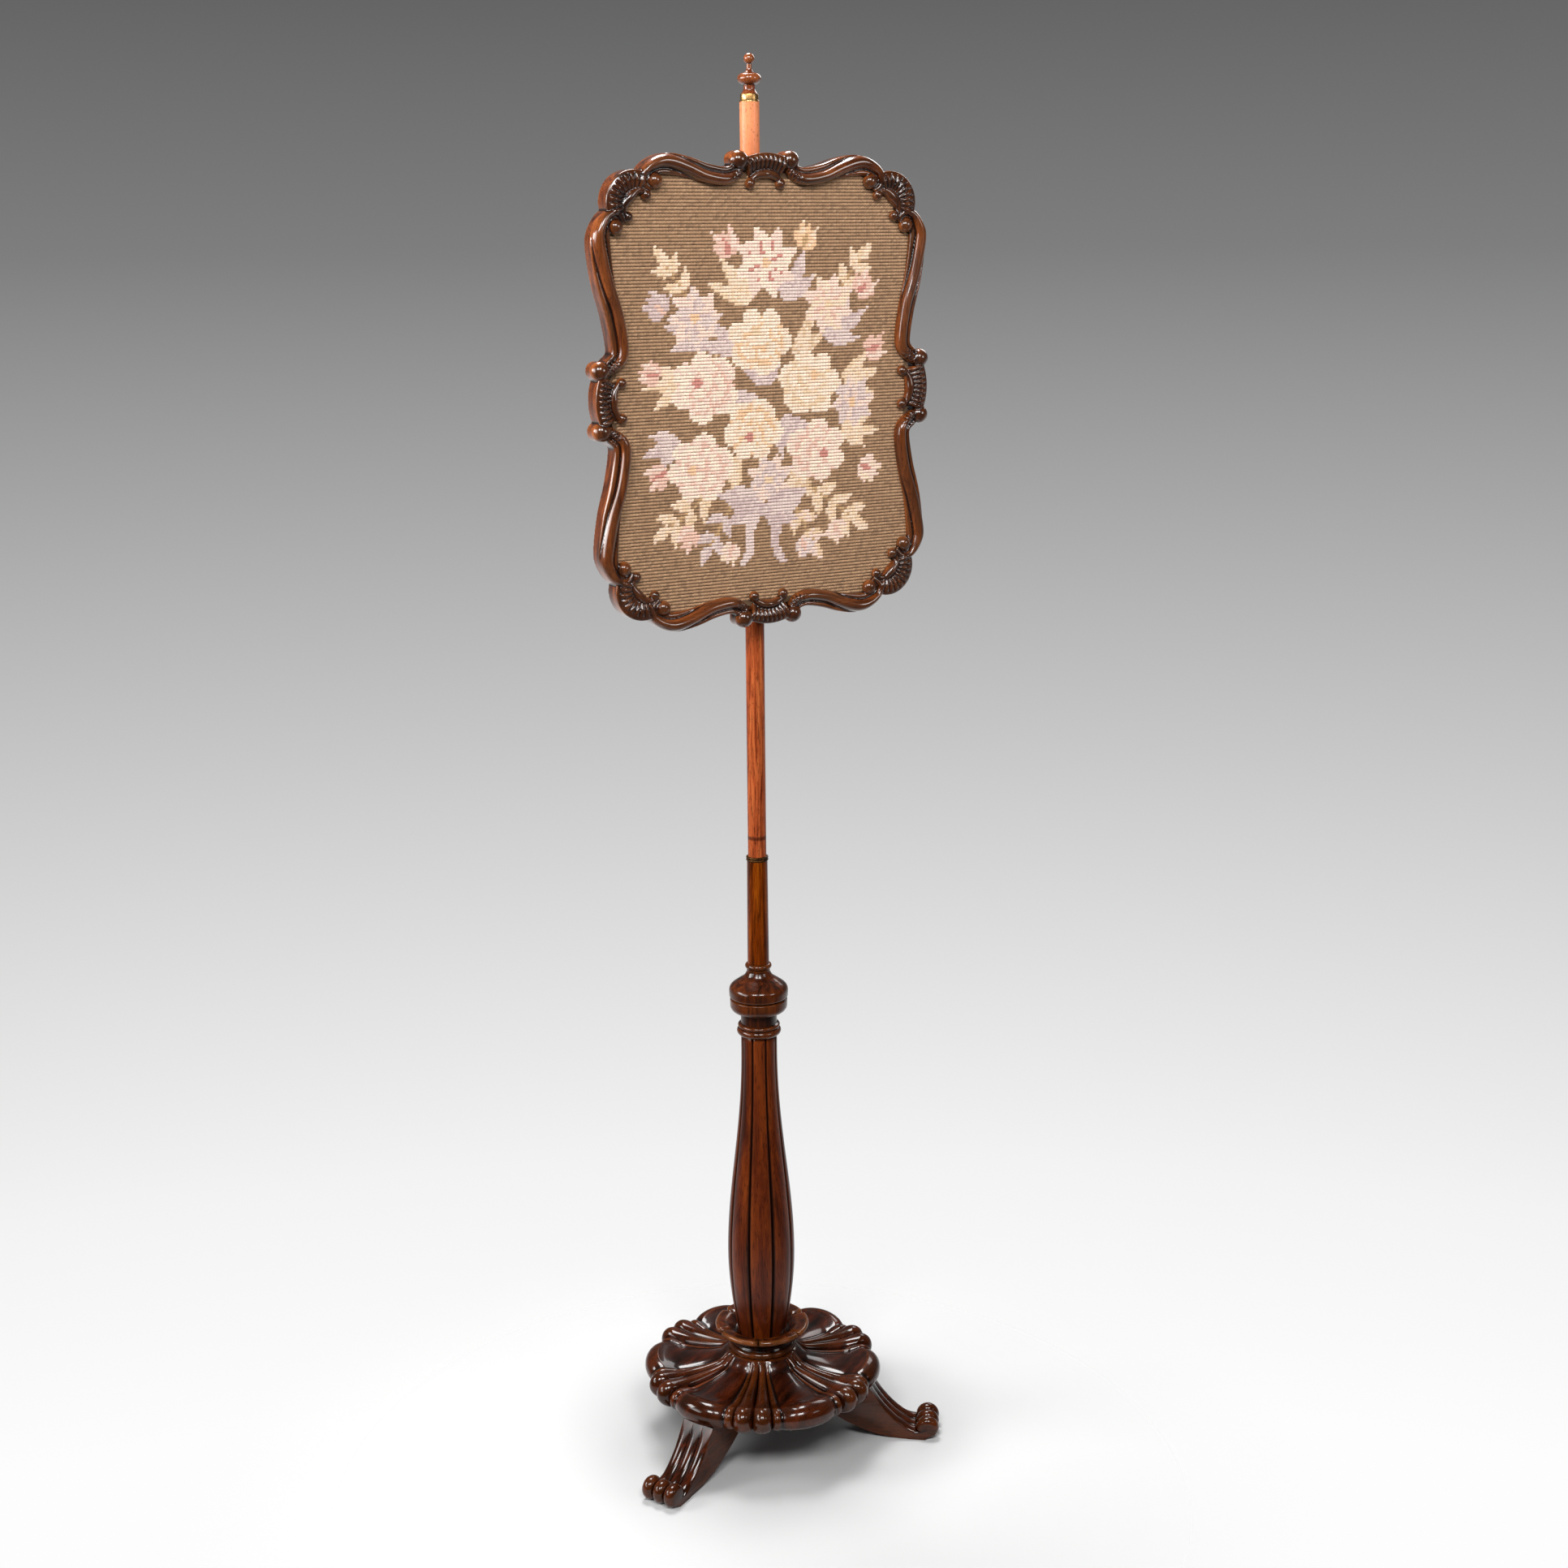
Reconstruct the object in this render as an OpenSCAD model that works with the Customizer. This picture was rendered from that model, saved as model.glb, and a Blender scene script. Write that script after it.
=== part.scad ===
// Pole screen: a carved frame with a needlework panel that slides and swivels on a turned pole,
// over a reeded column, a lobed platform and three scrolled legs.
// Millimetres. The floor is z = 0, the pole stands on the Z axis and the screen faces -Y.

/* [Tripod legs] */
// Distance from the pole's axis to the tip of a toe
leg_reach = 195; // [180:1:212]
// Height of the platform's underside above the floor
leg_height = 60; // [55:1:70]
// Width of a leg across its reeds
leg_width = 38; // [34:1:40]
// Height of a scrolled toe
toe_height = 25; // [22:1:28]
// Width of a toe over its three bulbs
toe_width = 42; // [40:1:46]
// Depth of the grooves between the reeds of a leg
leg_groove = 3.5; // [2:0.5:5]
// Depth of the grooves between the bulbs of a toe
toe_groove = 5.5; // [3.5:0.5:6.5]
// How far the middle of a leg's side stands out
leg_crown = 1.2; // [0.8:0.1:2]
// Turn of the tripod about the pole
tripod_turn = -5; // [-30:1:30]
// Radius of the dowels between leg and platform
dowel_radius = 5; // [4:0.5:6]
// Length of a dowel inside the leg
dowel_in_leg = 18; // [12:1:22]
// Length of a dowel inside the platform
dowel_in_platform = 9; // [6:1:11]

/* [Platform] */
// Radius of the platform over its lobes
platform_radius = 130; // [118:1:145]
// Thickness of the platform at its rim
platform_rim = 28; // [24:1:31]
// Rise of the platform's centre above its rim
platform_rise = 10; // [6:1:14]
// Depth of the flutes between the lobes
platform_flute = 9; // [6:0.5:10]
// Depth of the notches between the lobes at the rim
platform_notch = 11; // [7:0.5:12]
// Depth of the scoop in the middle of a broad lobe
platform_scoop = 3; // [1:0.5:4]
// Half angle of a pair of narrow reeds
reed_pair = 10; // [9:0.5:11]
// Half angle of such a pair with the bead on either side of it
reed_group = 14.5; // [14:0.5:17]

/* [Collar] */
// Radius of the bead at the foot of the collar
collar_bead = 37; // [35:0.5:40]
// Height of the bead
collar_bead_height = 8; // [6:1:10]
// Radius of the hollow neck under the petals
collar_neck = 33; // [31:0.5:34]
// Height of the hollow neck
collar_neck_height = 8; // [6:1:12]
// Radius over the petals
petal_radius = 51; // [46:1:56]
// Height of the petals
petal_height = 14; // [11:1:18]
// Thickness of the collar's floor that the column stands on
petal_floor = 4; // [3:1:5]

/* [Column] */
// Length of the column between collar and capital
column_length = 345; // [300:1:390]
// Radius of the column at its widest
column_belly = 36; // [33:0.5:39]
// Height of the widest place above the column's foot
belly_height = 94; // [80:1:110]
// Radius of the column at its foot
column_foot = 26; // [24:0.5:27]
// Radius of the column at its top
column_top = 19; // [17:0.5:21]
// Depth of the grooves between the reeds of the column, as a share of its radius
column_groove = 0.1; // [0.05:0.01:0.14]
// Turn of the column's reeds about the pole
column_turn = 15; // [0:1:44]
// Radius of the tenon at the column's foot
foot_tenon = 14; // [11:0.5:16]
// Radius of the tenon at the column's top
top_tenon = 9; // [7:0.5:11]
// Length of the tenon at the column's top
top_tenon_length = 16; // [12:1:18]

/* [Capital and knop] */
// Height of the capital, from the column to the groove under the knop
capital_height = 41; // [38:1:44]
// Radius of the double bead on the capital
capital_bead = 23.4; // [22:0.2:25]
// Height of the double bead
capital_bead_height = 16; // [14:1:17]
// Radius of the capital's neck
capital_neck = 19.1; // [17:0.1:20]
// Radius of the knop and of the cup below it
knop_radius = 31; // [28:0.5:34]
// Height of the knop with its neck and bead
knop_height = 38; // [34:1:44]
// Radius of the bead on top of the knop
knop_bead = 14; // [13:0.2:16]
// Radius of the spigot that joins knop and capital
knop_spigot = 8; // [6:0.5:9]
// Length of that spigot
knop_spigot_length = 14; // [10:1:16]

/* [Pole] */
// Length of the dark lower pole that shows between knop and ring
sleeve_length = 112; // [90:1:140]
// Radius of the lower pole at the knop
sleeve_radius = 11.3; // [10.8:0.1:12]
// Radius of the lower pole at the ring
sleeve_mouth = 10.7; // [10.2:0.1:11]
// Radius of the tenon that holds the lower pole in the knop
sleeve_tenon = 7; // [6:0.5:8]
// Length of that tenon
sleeve_tenon_length = 22; // [16:1:26]
// Height of the ring at the lower pole's mouth
ring_height = 5; // [4:0.5:7]
// Length of the upper pole that shows
pole_length = 746.5; // [700:0.5:800]
// Radius of the upper pole
pole_radius = 9.5; // [9:0.1:10]
// Radius of the spigot on which the upper pole turns
spigot_radius = 6.5; // [5.5:0.1:7.5]
// Length of that spigot
spigot_length = 75; // [50:1:85]
// Height of the ferrule at the pole's top
ferrule_height = 7.5; // [6:0.5:10]
// Height of the finial above the ferrule
finial_height = 37; // [32:1:42]
// Radius of the finial's bun
finial_radius = 11.4; // [10:0.1:13]

/* [Screen frame] */
// Width of the frame over its carving
frame_width = 374; // [350:1:400]
// Height of the frame over its carving
frame_height = 454; // [430:1:480]
// Height of the frame's centre above the lower pole's ring
screen_lift = 474; // [455:1:485]
// Depth of the frame from its back to the crest of its rails
frame_depth = 22; // [20:0.5:26]
// Height of the rails' straight sides above the back
rail_side = 13; // [12.5:0.5:15]
// Width of the rails at their crown by the corners
rail_width = 20; // [18:0.5:21]
// How far the top and bottom rails dip below the outer edge beside the middle
rail_dip = 23; // [21:0.5:25]
// How far the side rails dip in beside the middle
stile_dip = 29; // [27:0.5:30]
// Distance of the rails' crown from the outer edge
rail_crown = 12.5; // [11.5:0.5:14]
// Height of the flat that the rails' roll swings across
rail_flat = 16; // [15.5:0.5:17]
// Gap between the pole and the back of the frame
pole_gap = 4.5; // [4:0.1:6]

/* [Needlework panel] */
// Thickness of the canvas with its stitches
canvas_thickness = 2; // [1.5:0.1:2.5]
// Thickness of the strainer behind the canvas
strainer_thickness = 6; // [5:0.5:6.5]
// Width of the strainer's bars
strainer_bar = 26; // [20:1:32]
// Thickness of the back panel
back_thickness = 2; // [1.6:0.1:2.2]
// Radius of the brads that hold the panel
brad_radius = 0.7; // [0.5:0.1:0.8]
// Length of a brad
brad_length = 13; // [10:1:14]

/* [Brackets] */
// Height of a ring bracket
bracket_height = 15; // [13:0.5:16]
// Width of a bracket's plate
bracket_width = 58; // [50:1:64]
// Thickness of a bracket's plate
bracket_plate = 3; // [2.5:0.1:3.5]
// Radius over the bracket's ring
bracket_ring = 13.5; // [13:0.1:13.8]
// Distance of a bracket's middle from the frame's outer edge
bracket_inset = 11; // [10:0.5:12]
// Distance of a bracket screw from the bracket's middle
screw_offset = 22; // [19:0.5:24]
// Radius of a bracket screw's shank
screw_radius = 1.75; // [1.5:0.05:2]
// Length of a bracket screw in the wood
screw_length = 7; // [5:0.5:8]
// Radius of the thumbscrew's shank
thumb_shank = 2.5; // [2:0.1:3]
// Radius of the thumbscrew's head
thumb_head = 8; // [7:0.5:9]

/* [Hidden] */

$fn = 64;
// Radial clearances: a running fit, a glued fit and a fit in carved wood
run_fit = 0.1;
glue_fit = 0.05;
wood_fit = 0.15;
// Cutters run past the faces that they cut by this much
over = 1;

// Heights of the seats, from the floor up
z_seat = leg_height + platform_rim + platform_rise;
z_petals = z_seat + collar_bead_height + collar_neck_height;
z_column = z_petals + petal_floor;
z_capital = z_column + column_length;
z_knop = z_capital + capital_height;
z_sleeve = z_knop + knop_height;
z_ring = z_sleeve + sleeve_length;
z_pole = z_ring + ring_height;
z_ferrule = z_pole + pole_length;
z_finial = z_ferrule + ferrule_height;
z_screen = z_pole + screen_lift;

// Planes of the screen, measured from the pole's axis
frame_back = pole_radius + pole_gap;
half_width = frame_width / 2;
half_height = frame_height / 2;
canvas_front = rail_side - over;
canvas_back = canvas_front - canvas_thickness;
strainer_back = canvas_back - strainer_thickness;
panel_back = strainer_back - back_thickness;

leg_angles = [tripod_turn + 210, tripod_turn - 30, tripod_turn + 90];
// Shares of a leg's reach at which its two dowels stand
dowel_places = leg_reach * [0.368, 0.523];

// Curves

// Points on an arc about [x, y]
function arc(x, y, r, from, to, steps = 8) =
    [for (i = [0:steps]) let (a = from + (to - from) * i / steps) [x + r * cos(a), y + r * sin(a)]];

// Value on a smooth curve through a list of points, between point i and the next
function spline_at(p, i, t) =
    let (a = p[max(i - 1, 0)], b = p[i], c = p[i + 1], d = p[min(i + 2, len(p) - 1)])
    b + t * (c - a) / 2 + t * t * (a - 2.5 * b + 2 * c - d / 2) + t * t * t * (1.5 * (b - c) + (d - a) / 2);

// Smooth curve through a list of points
function spline(p, steps) =
    concat([for (i = [0:len(p) - 2], k = [0:steps - 1]) spline_at(p, i, k / steps)], [p[len(p) - 1]]);

// Soft step from 0 to 1
function ease(t) = (1 - cos(180 * t)) / 2;

// Solids

// Triangles between the rings of a stack of n rings with m points each; a closed one joins its ends
function ring_sides(n, m, closed) =
    [for (i = [0:n - (closed ? 1 : 2)], j = [0:m - 1], half = [0, 1])
        let (a = i * m + j, b = i * m + (j + 1) % m, up = ((i + 1) % n - i) * m)
        half == 0 ? [a, b + up, b] : [a, a + up, b + up]];

// Solid through a stack of rings that all have the same number of points
module loft(rings, closed = false) {
    n = len(rings);
    m = len(rings[0]);
    sides = ring_sides(n, m, closed);
    first = [for (j = [0:m - 1]) j];
    last = [for (j = [m - 1:-1:0]) (n - 1) * m + j];
    polyhedron([for (ring = rings, p = ring) p], closed ? sides : concat(sides, [first, last]));
}

// Turned solid from an outline of [radius, height] points
module turned(outline) {
    rotate_extrude() polygon(outline);
}

// Bore along Z
module bore(radius, from, to) {
    translate([0, 0, from]) cylinder(r = radius, h = to - from);
}

// Legs

// Where a leg begins under the platform, and where its top leaves the platform's underside
leg_root = leg_reach * 0.233;
leg_rim = leg_reach * 0.611;
leg_end = leg_height / 12;
toe_radius = toe_height / 2;
toe_hollow = [leg_reach - 2.1 * toe_radius, toe_height / 2];

// Underside of a leg: it hangs from the platform and flattens towards the pad on the floor
function leg_under(t) =
    [leg_root + (leg_reach - 2.6 * toe_radius - leg_root) * t, (leg_height - leg_end) * pow(1 - t, 2)];

// Top of a leg: a hollow sweep from the platform's rim down to the toe
function leg_top(t) =
    [leg_rim + (toe_hollow[0] - leg_rim) * t,
        toe_hollow[1] + (leg_height - toe_hollow[1]) * pow(1 - t, 1.6)];

// Side outline of a leg as [reach, height] points, with its reeds cut in by a share of the groove
function leg_outline(cut) =
    concat([for (k = [0:6]) leg_under(k / 6)], [[leg_reach - 1.2 * toe_radius, 0]],
        arc(leg_reach - toe_radius, toe_radius, toe_radius - cut * toe_groove, -60, 200, 9),
        [for (k = [6:-1:0]) leg_top(k / 6) - [0, cut * leg_groove * min(1, k / 2)]],
        [[leg_root, leg_height]]);

// Depth of the grooves at the side position s, from -1 to 1: three reeds across
function leg_cut(s) = 1 - pow(abs(sin(270 * (s + 1))), 0.6);

// Triangles that close a ring of m points, which begins at the point base, over a ridge that begins at crest
function ridge_cap(base, crest, m) =
    let (half = m / 2)
    concat([[base + m - 1, base, crest], [base + half - 1, base + half, crest + half - 1]],
        [for (j = [0:half - 2], face = [[j, j + 1, m], [j + 1, m + 1, m], [m - 2 - j, m - 1 - j, m],
                [m - 2 - j, m, m + 1]])
            [for (p = face) p < m ? base + p : crest + j + p - m]]);

function turned_over(faces) = [for (f = faces) [f[2], f[1], f[0]]];

// Ridge along the middle of a ring, set out by a distance along Y
function ridge(ring, out) =
    let (m = len(ring))
    [for (j = [0:m / 2 - 1]) (ring[j] + ring[m - 1 - j]) / 2 + [0, out, 0]];

// Half of a leg's width at a reach: it flares into the toe
function leg_side(x) =
    leg_width / 2 + (toe_width - leg_width) / 2 * ease(min(1, max(0, (x - toe_hollow[0]) / toe_radius + 1)));

module leg_body() {
    across = 12;
    rings = [for (k = [0:across]) let (s = 1 - 2 * k / across)
        [for (p = leg_outline(leg_cut(s))) [p[0], s * leg_side(p[0]), p[1]]]];
    m = len(rings[0]);
    crest = (across + 1) * m;
    ridges = concat(ridge(rings[0], leg_crown), ridge(rings[across], -leg_crown));
    polyhedron(concat([for (ring = rings, p = ring) p], ridges),
        concat(ring_sides(across + 1, m, false), ridge_cap(0, crest, m),
            turned_over(ridge_cap(across * m, crest + m / 2, m))));
}

module leg(angle) {
    color([0.27, 0.12, 0.07]) rotate(angle) difference() {
        leg_body();
        for (r = dowel_places) translate([r, 0, 0])
            bore(dowel_radius + wood_fit, leg_height - dowel_in_leg - wood_fit, leg_height + over);
    }
}

module leg_front_left() {
    leg(leg_angles[0]);
}

module leg_front_right() {
    leg(leg_angles[1]);
}

module leg_rear() {
    leg(leg_angles[2]);
}

module leg_dowels() {
    color([0.55, 0.38, 0.22]) for (a = leg_angles, r = dowel_places) rotate(a) translate([r, 0, 0])
        bore(dowel_radius, leg_height - dowel_in_leg, leg_height + dowel_in_platform);
}

// Platform

// Round swell between two angles, 0 at its ends and 1 at its middle
function swell(a, from, to, power = 0.5) = pow(max(0, 1 - pow((2 * a - from - to) / (to - from), 2)), power);

// Swell of a bead as a share of a lobe's, and how far lobe and bead run into each other
bead_share = 0.5;
lobe_lap = 1;

// Swell of a lobe, reed or bead, 0 in a groove and 1 on a crest; a is measured from the middle of a reed pair
function lobe(a) =
    let (b = abs(a))
    max(swell(b, 0, reed_pair), bead_share * swell(b, reed_pair, reed_group + lobe_lap),
        swell(b, reed_group - lobe_lap, 60 - reed_group + lobe_lap, 0.6));

// Angles, within one sixth of the platform, at which its rings lie
function platform_angles() =
    concat([for (k = [-3:2]) reed_pair * k / 3],
        [for (k = [0, 1]) reed_pair + (reed_group - reed_pair) * k / 2],
        [for (k = [0:5]) reed_group + (60 - 2 * reed_group) * k / 6],
        [for (k = [0, 1]) 60 - reed_group + (reed_group - reed_pair) * k / 2]);

// Section of the platform in the direction a, as [radius, height] points
function platform_section(a) =
    let (b = a > 30 ? a - 60 : a, hollow = 1 - lobe(b), rim = platform_rim / 2,
        edge = platform_radius - platform_notch * hollow, flat = leg_height + platform_rim,
        sink = platform_flute * hollow,
        scoop = platform_scoop * swell(abs(b), reed_group, 60 - reed_group, 1),
        nose = arc(edge - rim, leg_height + rim, rim, 60, -56, 4))
    concat([[foot_tenon + wood_fit, leg_height], [foot_tenon + wood_fit, z_seat],
            [collar_bead + 1.5, z_seat],
            [collar_bead + 10, flat + platform_rise * 0.35 - sink * 0.4],
            [platform_radius * 0.5, flat - sink * 0.7 - scoop * 0.6],
            [platform_radius * 0.72, flat - 1.5 - sink - scoop], [edge - rim, flat - sink * 0.8]],
        [for (k = [0:4]) nose[k] - [0, sink * 0.2 * (4 - k)]],
        [[edge - rim - 2, leg_height]]);

module platform() {
    rings = [for (k = [0:5], a = platform_angles()) let (turn = a + 60 * k + tripod_turn)
        [for (p = platform_section(a)) [p[0] * cos(turn), p[0] * sin(turn), p[1]]]];
    color([0.24, 0.1, 0.06]) difference() {
        loft(rings, closed = true);
        for (a = leg_angles, r = dowel_places) rotate(a) translate([r, 0, 0])
            bore(dowel_radius + wood_fit, leg_height - over, leg_height + dowel_in_platform + wood_fit);
    }
}

// Collar

module collar_base() {
    bead = collar_bead_height / 2;
    color([0.29, 0.13, 0.07]) turned(concat(
        [[foot_tenon + wood_fit, z_seat], [collar_bead - bead, z_seat]],
        arc(collar_bead - bead, z_seat + bead, bead, -90, 90),
        [[collar_neck, z_seat + collar_bead_height], [collar_neck - 1.5, z_petals - collar_neck_height / 2],
            [collar_neck, z_petals], [foot_tenon + wood_fit, z_petals]]));
}

// Section of the petal collar in the direction a, as [radius, height] points
function petal_section(a) =
    let (slit = 1 - pow(abs(sin(3 * a)), 0.4), lip = petal_radius - 7 * slit,
        top = z_petals + petal_height - 3 * slit, dish = lip - column_foot, rise = top - z_column)
    concat([[foot_tenon + wood_fit, z_petals], [foot_tenon + wood_fit, z_column],
            [column_foot + 1.5, z_column], [column_foot + dish * 0.3, z_column + rise * 0.45],
            [column_foot + dish * 0.52, top - 1]],
        arc(lip - 3, top - 3, 3, 90, -50, 3),
        [[(collar_neck + lip) / 2, z_petals + petal_floor], [collar_neck, z_petals]]);

module petal_collar() {
    steps = 48;
    color([0.3, 0.14, 0.08]) loft([for (i = [0:steps - 1]) let (a = 360 * i / steps, turn = a + tripod_turn)
        [for (p = petal_section(a)) [p[0] * cos(turn), p[0] * sin(turn), p[1]]]], closed = true);
}

// Column

// Radius of the column at a height above its foot
function column_radius(h) =
    h < belly_height
    ? column_belly - (column_belly - column_foot) * (1 - cos(90 * (1 - h / belly_height)))
    : column_top + (column_belly - column_top)
        * ease(pow(max(0, (column_length - 13 - h) / (column_length - 13 - belly_height)), 1.1));

// Fall of a reed of the column from its middle to its edges, as a share of the radius
reed_crown = 0.02;

// Ring of the column: eight flat reeds with narrow grooves between them
function column_ring(radius, height, groove) =
    [for (facet = [0:7], q = [-1, -0.7, 0, 0.7])
        let (a = 45 * facet + 22.5 * q + column_turn,
            swell = 1 - reed_crown * q * q - (q == -1 ? groove - reed_crown : 0))
        [radius * swell * cos(a), radius * swell * sin(a), height]];

module column() {
    steps = 13;
    body = [for (i = [0:steps]) let (h = column_length * i / steps)
        column_ring(column_radius(h), z_column + h, column_groove)];
    foot = [for (z = [leg_height + over, z_column]) column_ring(foot_tenon, z, reed_crown)];
    head = [for (z = [z_capital, z_capital + top_tenon_length]) column_ring(top_tenon, z, reed_crown)];
    color([0.32, 0.15, 0.09]) loft(concat(foot, body, head));
}

// Capital, knop and lower pole

// Depth of the groove in which capital and knop meet
knop_groove = 2.4;

module capital() {
    bead = capital_bead_height / 4;
    z_neck = z_capital + capital_bead_height;
    cup = z_knop - z_neck;
    color([0.28, 0.13, 0.08]) difference() {
        turned(concat(
            [[0, z_capital], [capital_bead - bead, z_capital]],
            arc(capital_bead - bead, z_capital + bead, bead, -80, 70, 6),
            arc(capital_bead - bead - 1, z_neck - bead, bead, -70, 80, 6),
            [[capital_neck, z_neck + 1], [capital_neck, z_neck + cup * 0.36]],
            arc(knop_radius - 0.8 - cup * 0.28, z_knop - cup * 0.36, cup * 0.28, -90, 0, 6),
            [[knop_radius - 0.8, z_knop - 1.2], [knop_radius - knop_groove, z_knop], [0, z_knop]]));
        bore(top_tenon + wood_fit, z_capital - over, z_capital + top_tenon_length + glue_fit);
        bore(knop_spigot + glue_fit, z_knop - knop_spigot_length - glue_fit, z_knop + over);
    }
}

module knop() {
    neck = knop_bead - 1.8;
    bead = 3;
    shoulder = [[knop_radius, z_knop + 1.4], [knop_radius, z_knop + knop_height * 0.25],
        [knop_radius * 0.93, z_knop + knop_height * 0.36], [knop_radius * 0.72, z_knop + knop_height * 0.49],
        [knop_radius * 0.5, z_knop + knop_height * 0.62], [neck, z_knop + knop_height * 0.76]];
    color([0.28, 0.13, 0.08]) difference() {
        turned(concat(
            [[0, z_knop - knop_spigot_length], [knop_spigot, z_knop - knop_spigot_length],
                [knop_spigot, z_knop], [knop_radius - knop_groove, z_knop]],
            spline(shoulder, 3), [[neck, z_sleeve - 2 * bead]],
            arc(knop_bead - bead, z_sleeve - bead, bead, -80, 80, 6),
            [[knop_bead - bead, z_sleeve], [0, z_sleeve]]));
        bore(sleeve_tenon + glue_fit, z_sleeve - sleeve_tenon_length - glue_fit, z_sleeve + over);
    }
}

module sleeve() {
    color([0.36, 0.18, 0.08]) difference() {
        turned([[0, z_sleeve - sleeve_tenon_length], [sleeve_tenon, z_sleeve - sleeve_tenon_length],
            [sleeve_tenon, z_sleeve], [sleeve_radius, z_sleeve], [sleeve_mouth, z_ring], [0, z_ring]]);
        bore(spigot_radius + run_fit, z_pole - spigot_length - over, z_ring + over);
    }
}

module sleeve_ring() {
    bead = ring_height / 4;
    color([0.72, 0.58, 0.32]) difference() {
        turned(concat(
            [[0, z_ring], [sleeve_mouth - 0.4, z_ring]],
            arc(sleeve_mouth - 0.4, z_ring + bead, bead, -80, 70, 5),
            arc(sleeve_mouth - 0.4, z_pole - bead, bead, -70, 80, 5),
            [[sleeve_mouth - 0.4, z_pole], [0, z_pole]]));
        bore(spigot_radius + run_fit, z_ring - over, z_pole + over);
    }
}

// Upper pole, ferrule and finial

finial_spigot = 3;
finial_spigot_length = 16;
ferrule_spigot = 6;

module pole() {
    color([0.63, 0.32, 0.18]) difference() {
        turned([[0, z_pole - spigot_length], [spigot_radius, z_pole - spigot_length], [spigot_radius, z_pole],
            [pole_radius, z_pole], [pole_radius, z_ferrule], [ferrule_spigot, z_ferrule],
            [ferrule_spigot, z_finial - 2], [0, z_finial - 2]]);
        bore(finial_spigot + glue_fit, z_finial - finial_spigot_length - glue_fit, z_finial);
    }
}

module ferrule() {
    color([0.8, 0.66, 0.36]) difference() {
        turned([[0, z_ferrule], [pole_radius, z_ferrule], [pole_radius, z_ferrule + 1],
            [pole_radius - 0.6, z_ferrule + 1.6], [pole_radius - 0.6, z_finial - 1],
            [pole_radius - 1.2, z_finial], [0, z_finial]]);
        bore(ferrule_spigot + glue_fit, z_ferrule - over, z_finial + over);
    }
}

module finial() {
    ball = finial_height * 0.14;
    bun = finial_height * 0.15;
    z_bun = z_finial + finial_height * 0.37;
    z_ball = z_finial + finial_height - ball;
    color([0.5, 0.24, 0.1]) turned(concat(
        [[0, z_finial - finial_spigot_length], [finial_spigot, z_finial - finial_spigot_length],
            [finial_spigot, z_finial], [pole_radius - 1.4, z_finial]],
        spline([[pole_radius - 1.4, z_finial], [finial_radius * 0.5, z_finial + 3.5],
            [finial_radius * 0.5, z_bun - bun]], 4),
        [for (a = [-75:15:75]) [finial_radius * 0.4 + finial_radius * 0.6 * cos(a), z_bun + bun * sin(a)]],
        [[finial_radius * 0.22, z_bun + bun + 2]],
        arc(0, z_ball, ball, -60, 90, 10)));
}

// Screen frame
// A member is drawn along X about its middle, with its outer edge at z = 0, its back at y = 0 and its
// front towards -Y; length is half of its length, where the mitres meet its outer edge.

eye_inset = [69, 27.5];
small_eye_inset = [60, 40.5];
fan_inset = 47;
fan_radius = 29.5;
mid_scroll = [28, 10];
mid_eye = [16.5, 30];

// Smooth fall of a rail from its crown near the corner to its dip near the middle, t from 0 to 1
function rail_sweep(length, dip, t) =
    let (from = mid_scroll[0] + 16, to = length - eye_inset[0] - 16)
    [from + (to - from) * t, -dip + (dip - rail_crown) * ease(t)];

// Centre line of half a rail with its width and its height: a scroll, the sweep and the curl about an eye
function rail_line(length, dip) =
    let (eye = [length - eye_inset[0], -eye_inset[1]])
    concat([[mid_scroll[0], -mid_scroll[1] - 1, 12, 0.86], [mid_scroll[0] + 4, -mid_scroll[1] - 9, 15, 0.9]],
        [for (k = [0:3]) let (p = rail_sweep(length, dip, k / 3))
            [p[0], p[1], 17 + (rail_width - 17) * k / 3, 1]],
        [[eye[0] - 2, eye[1] + 13, 17, 1], [eye[0] + 9, eye[1] + 6.5, 13, 0.95],
            [eye[0] + 10.5, eye[1] - 2, 10, 0.88], [eye[0] + 4, eye[1] - 8, 7, 0.8]]);

// Section across a rail as [across, out] points: straight sides, and a round roll of a share of the width
// on a flat; the roll lies at roll_at, from -1 at the inner edge to 1 at the outer one
function rail_section(width, height, roll_at, share, steps) =
    concat([[width / 2, 0]],
        [for (i = [0:steps])
            let (q = cos(180 * i / steps), flat = abs(q) < 1 && share < 1 ? rail_flat : rail_side,
                roll = sqrt(max(0, 1 - pow((q - roll_at) / share, 2))))
            [q * width / 2, flat + max(0, height - flat) * roll]],
        [[-width / 2, 0]]);

// Rings of a sweep along a line of [along, outward, width, share of the height] points, with a roll that
// swings across it from one side to the other
function sweep_rings(line, height, swing, share, steps) =
    let (n = len(line) - 1)
    [for (i = [0:n])
        let (before = line[max(i - 1, 0)], after = line[min(i + 1, n)],
            run = [after[0] - before[0], after[1] - before[1]], side = [-run[1], run[0]] / norm(run),
            roll_at = swing * (2 * ease(min(1, max(0, (i / n - 0.3) / 0.35))) - 1))
        [for (p = rail_section(line[i][2], height * line[i][3], roll_at, share, steps))
            [line[i][0] + side[0] * p[0], -p[1], line[i][1] + side[1] * p[0]]]];

// Ball at the end of a scroll, carried down to the frame's back
module eye(x, z, radius, height, sides) {
    hull() {
        translate([x, radius - height, z]) sphere(radius, $fn = sides);
        translate([x, 0, z]) rotate([90, 0, 0]) cylinder(r = radius * 0.8, h = over, $fn = sides);
    }
}

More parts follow.
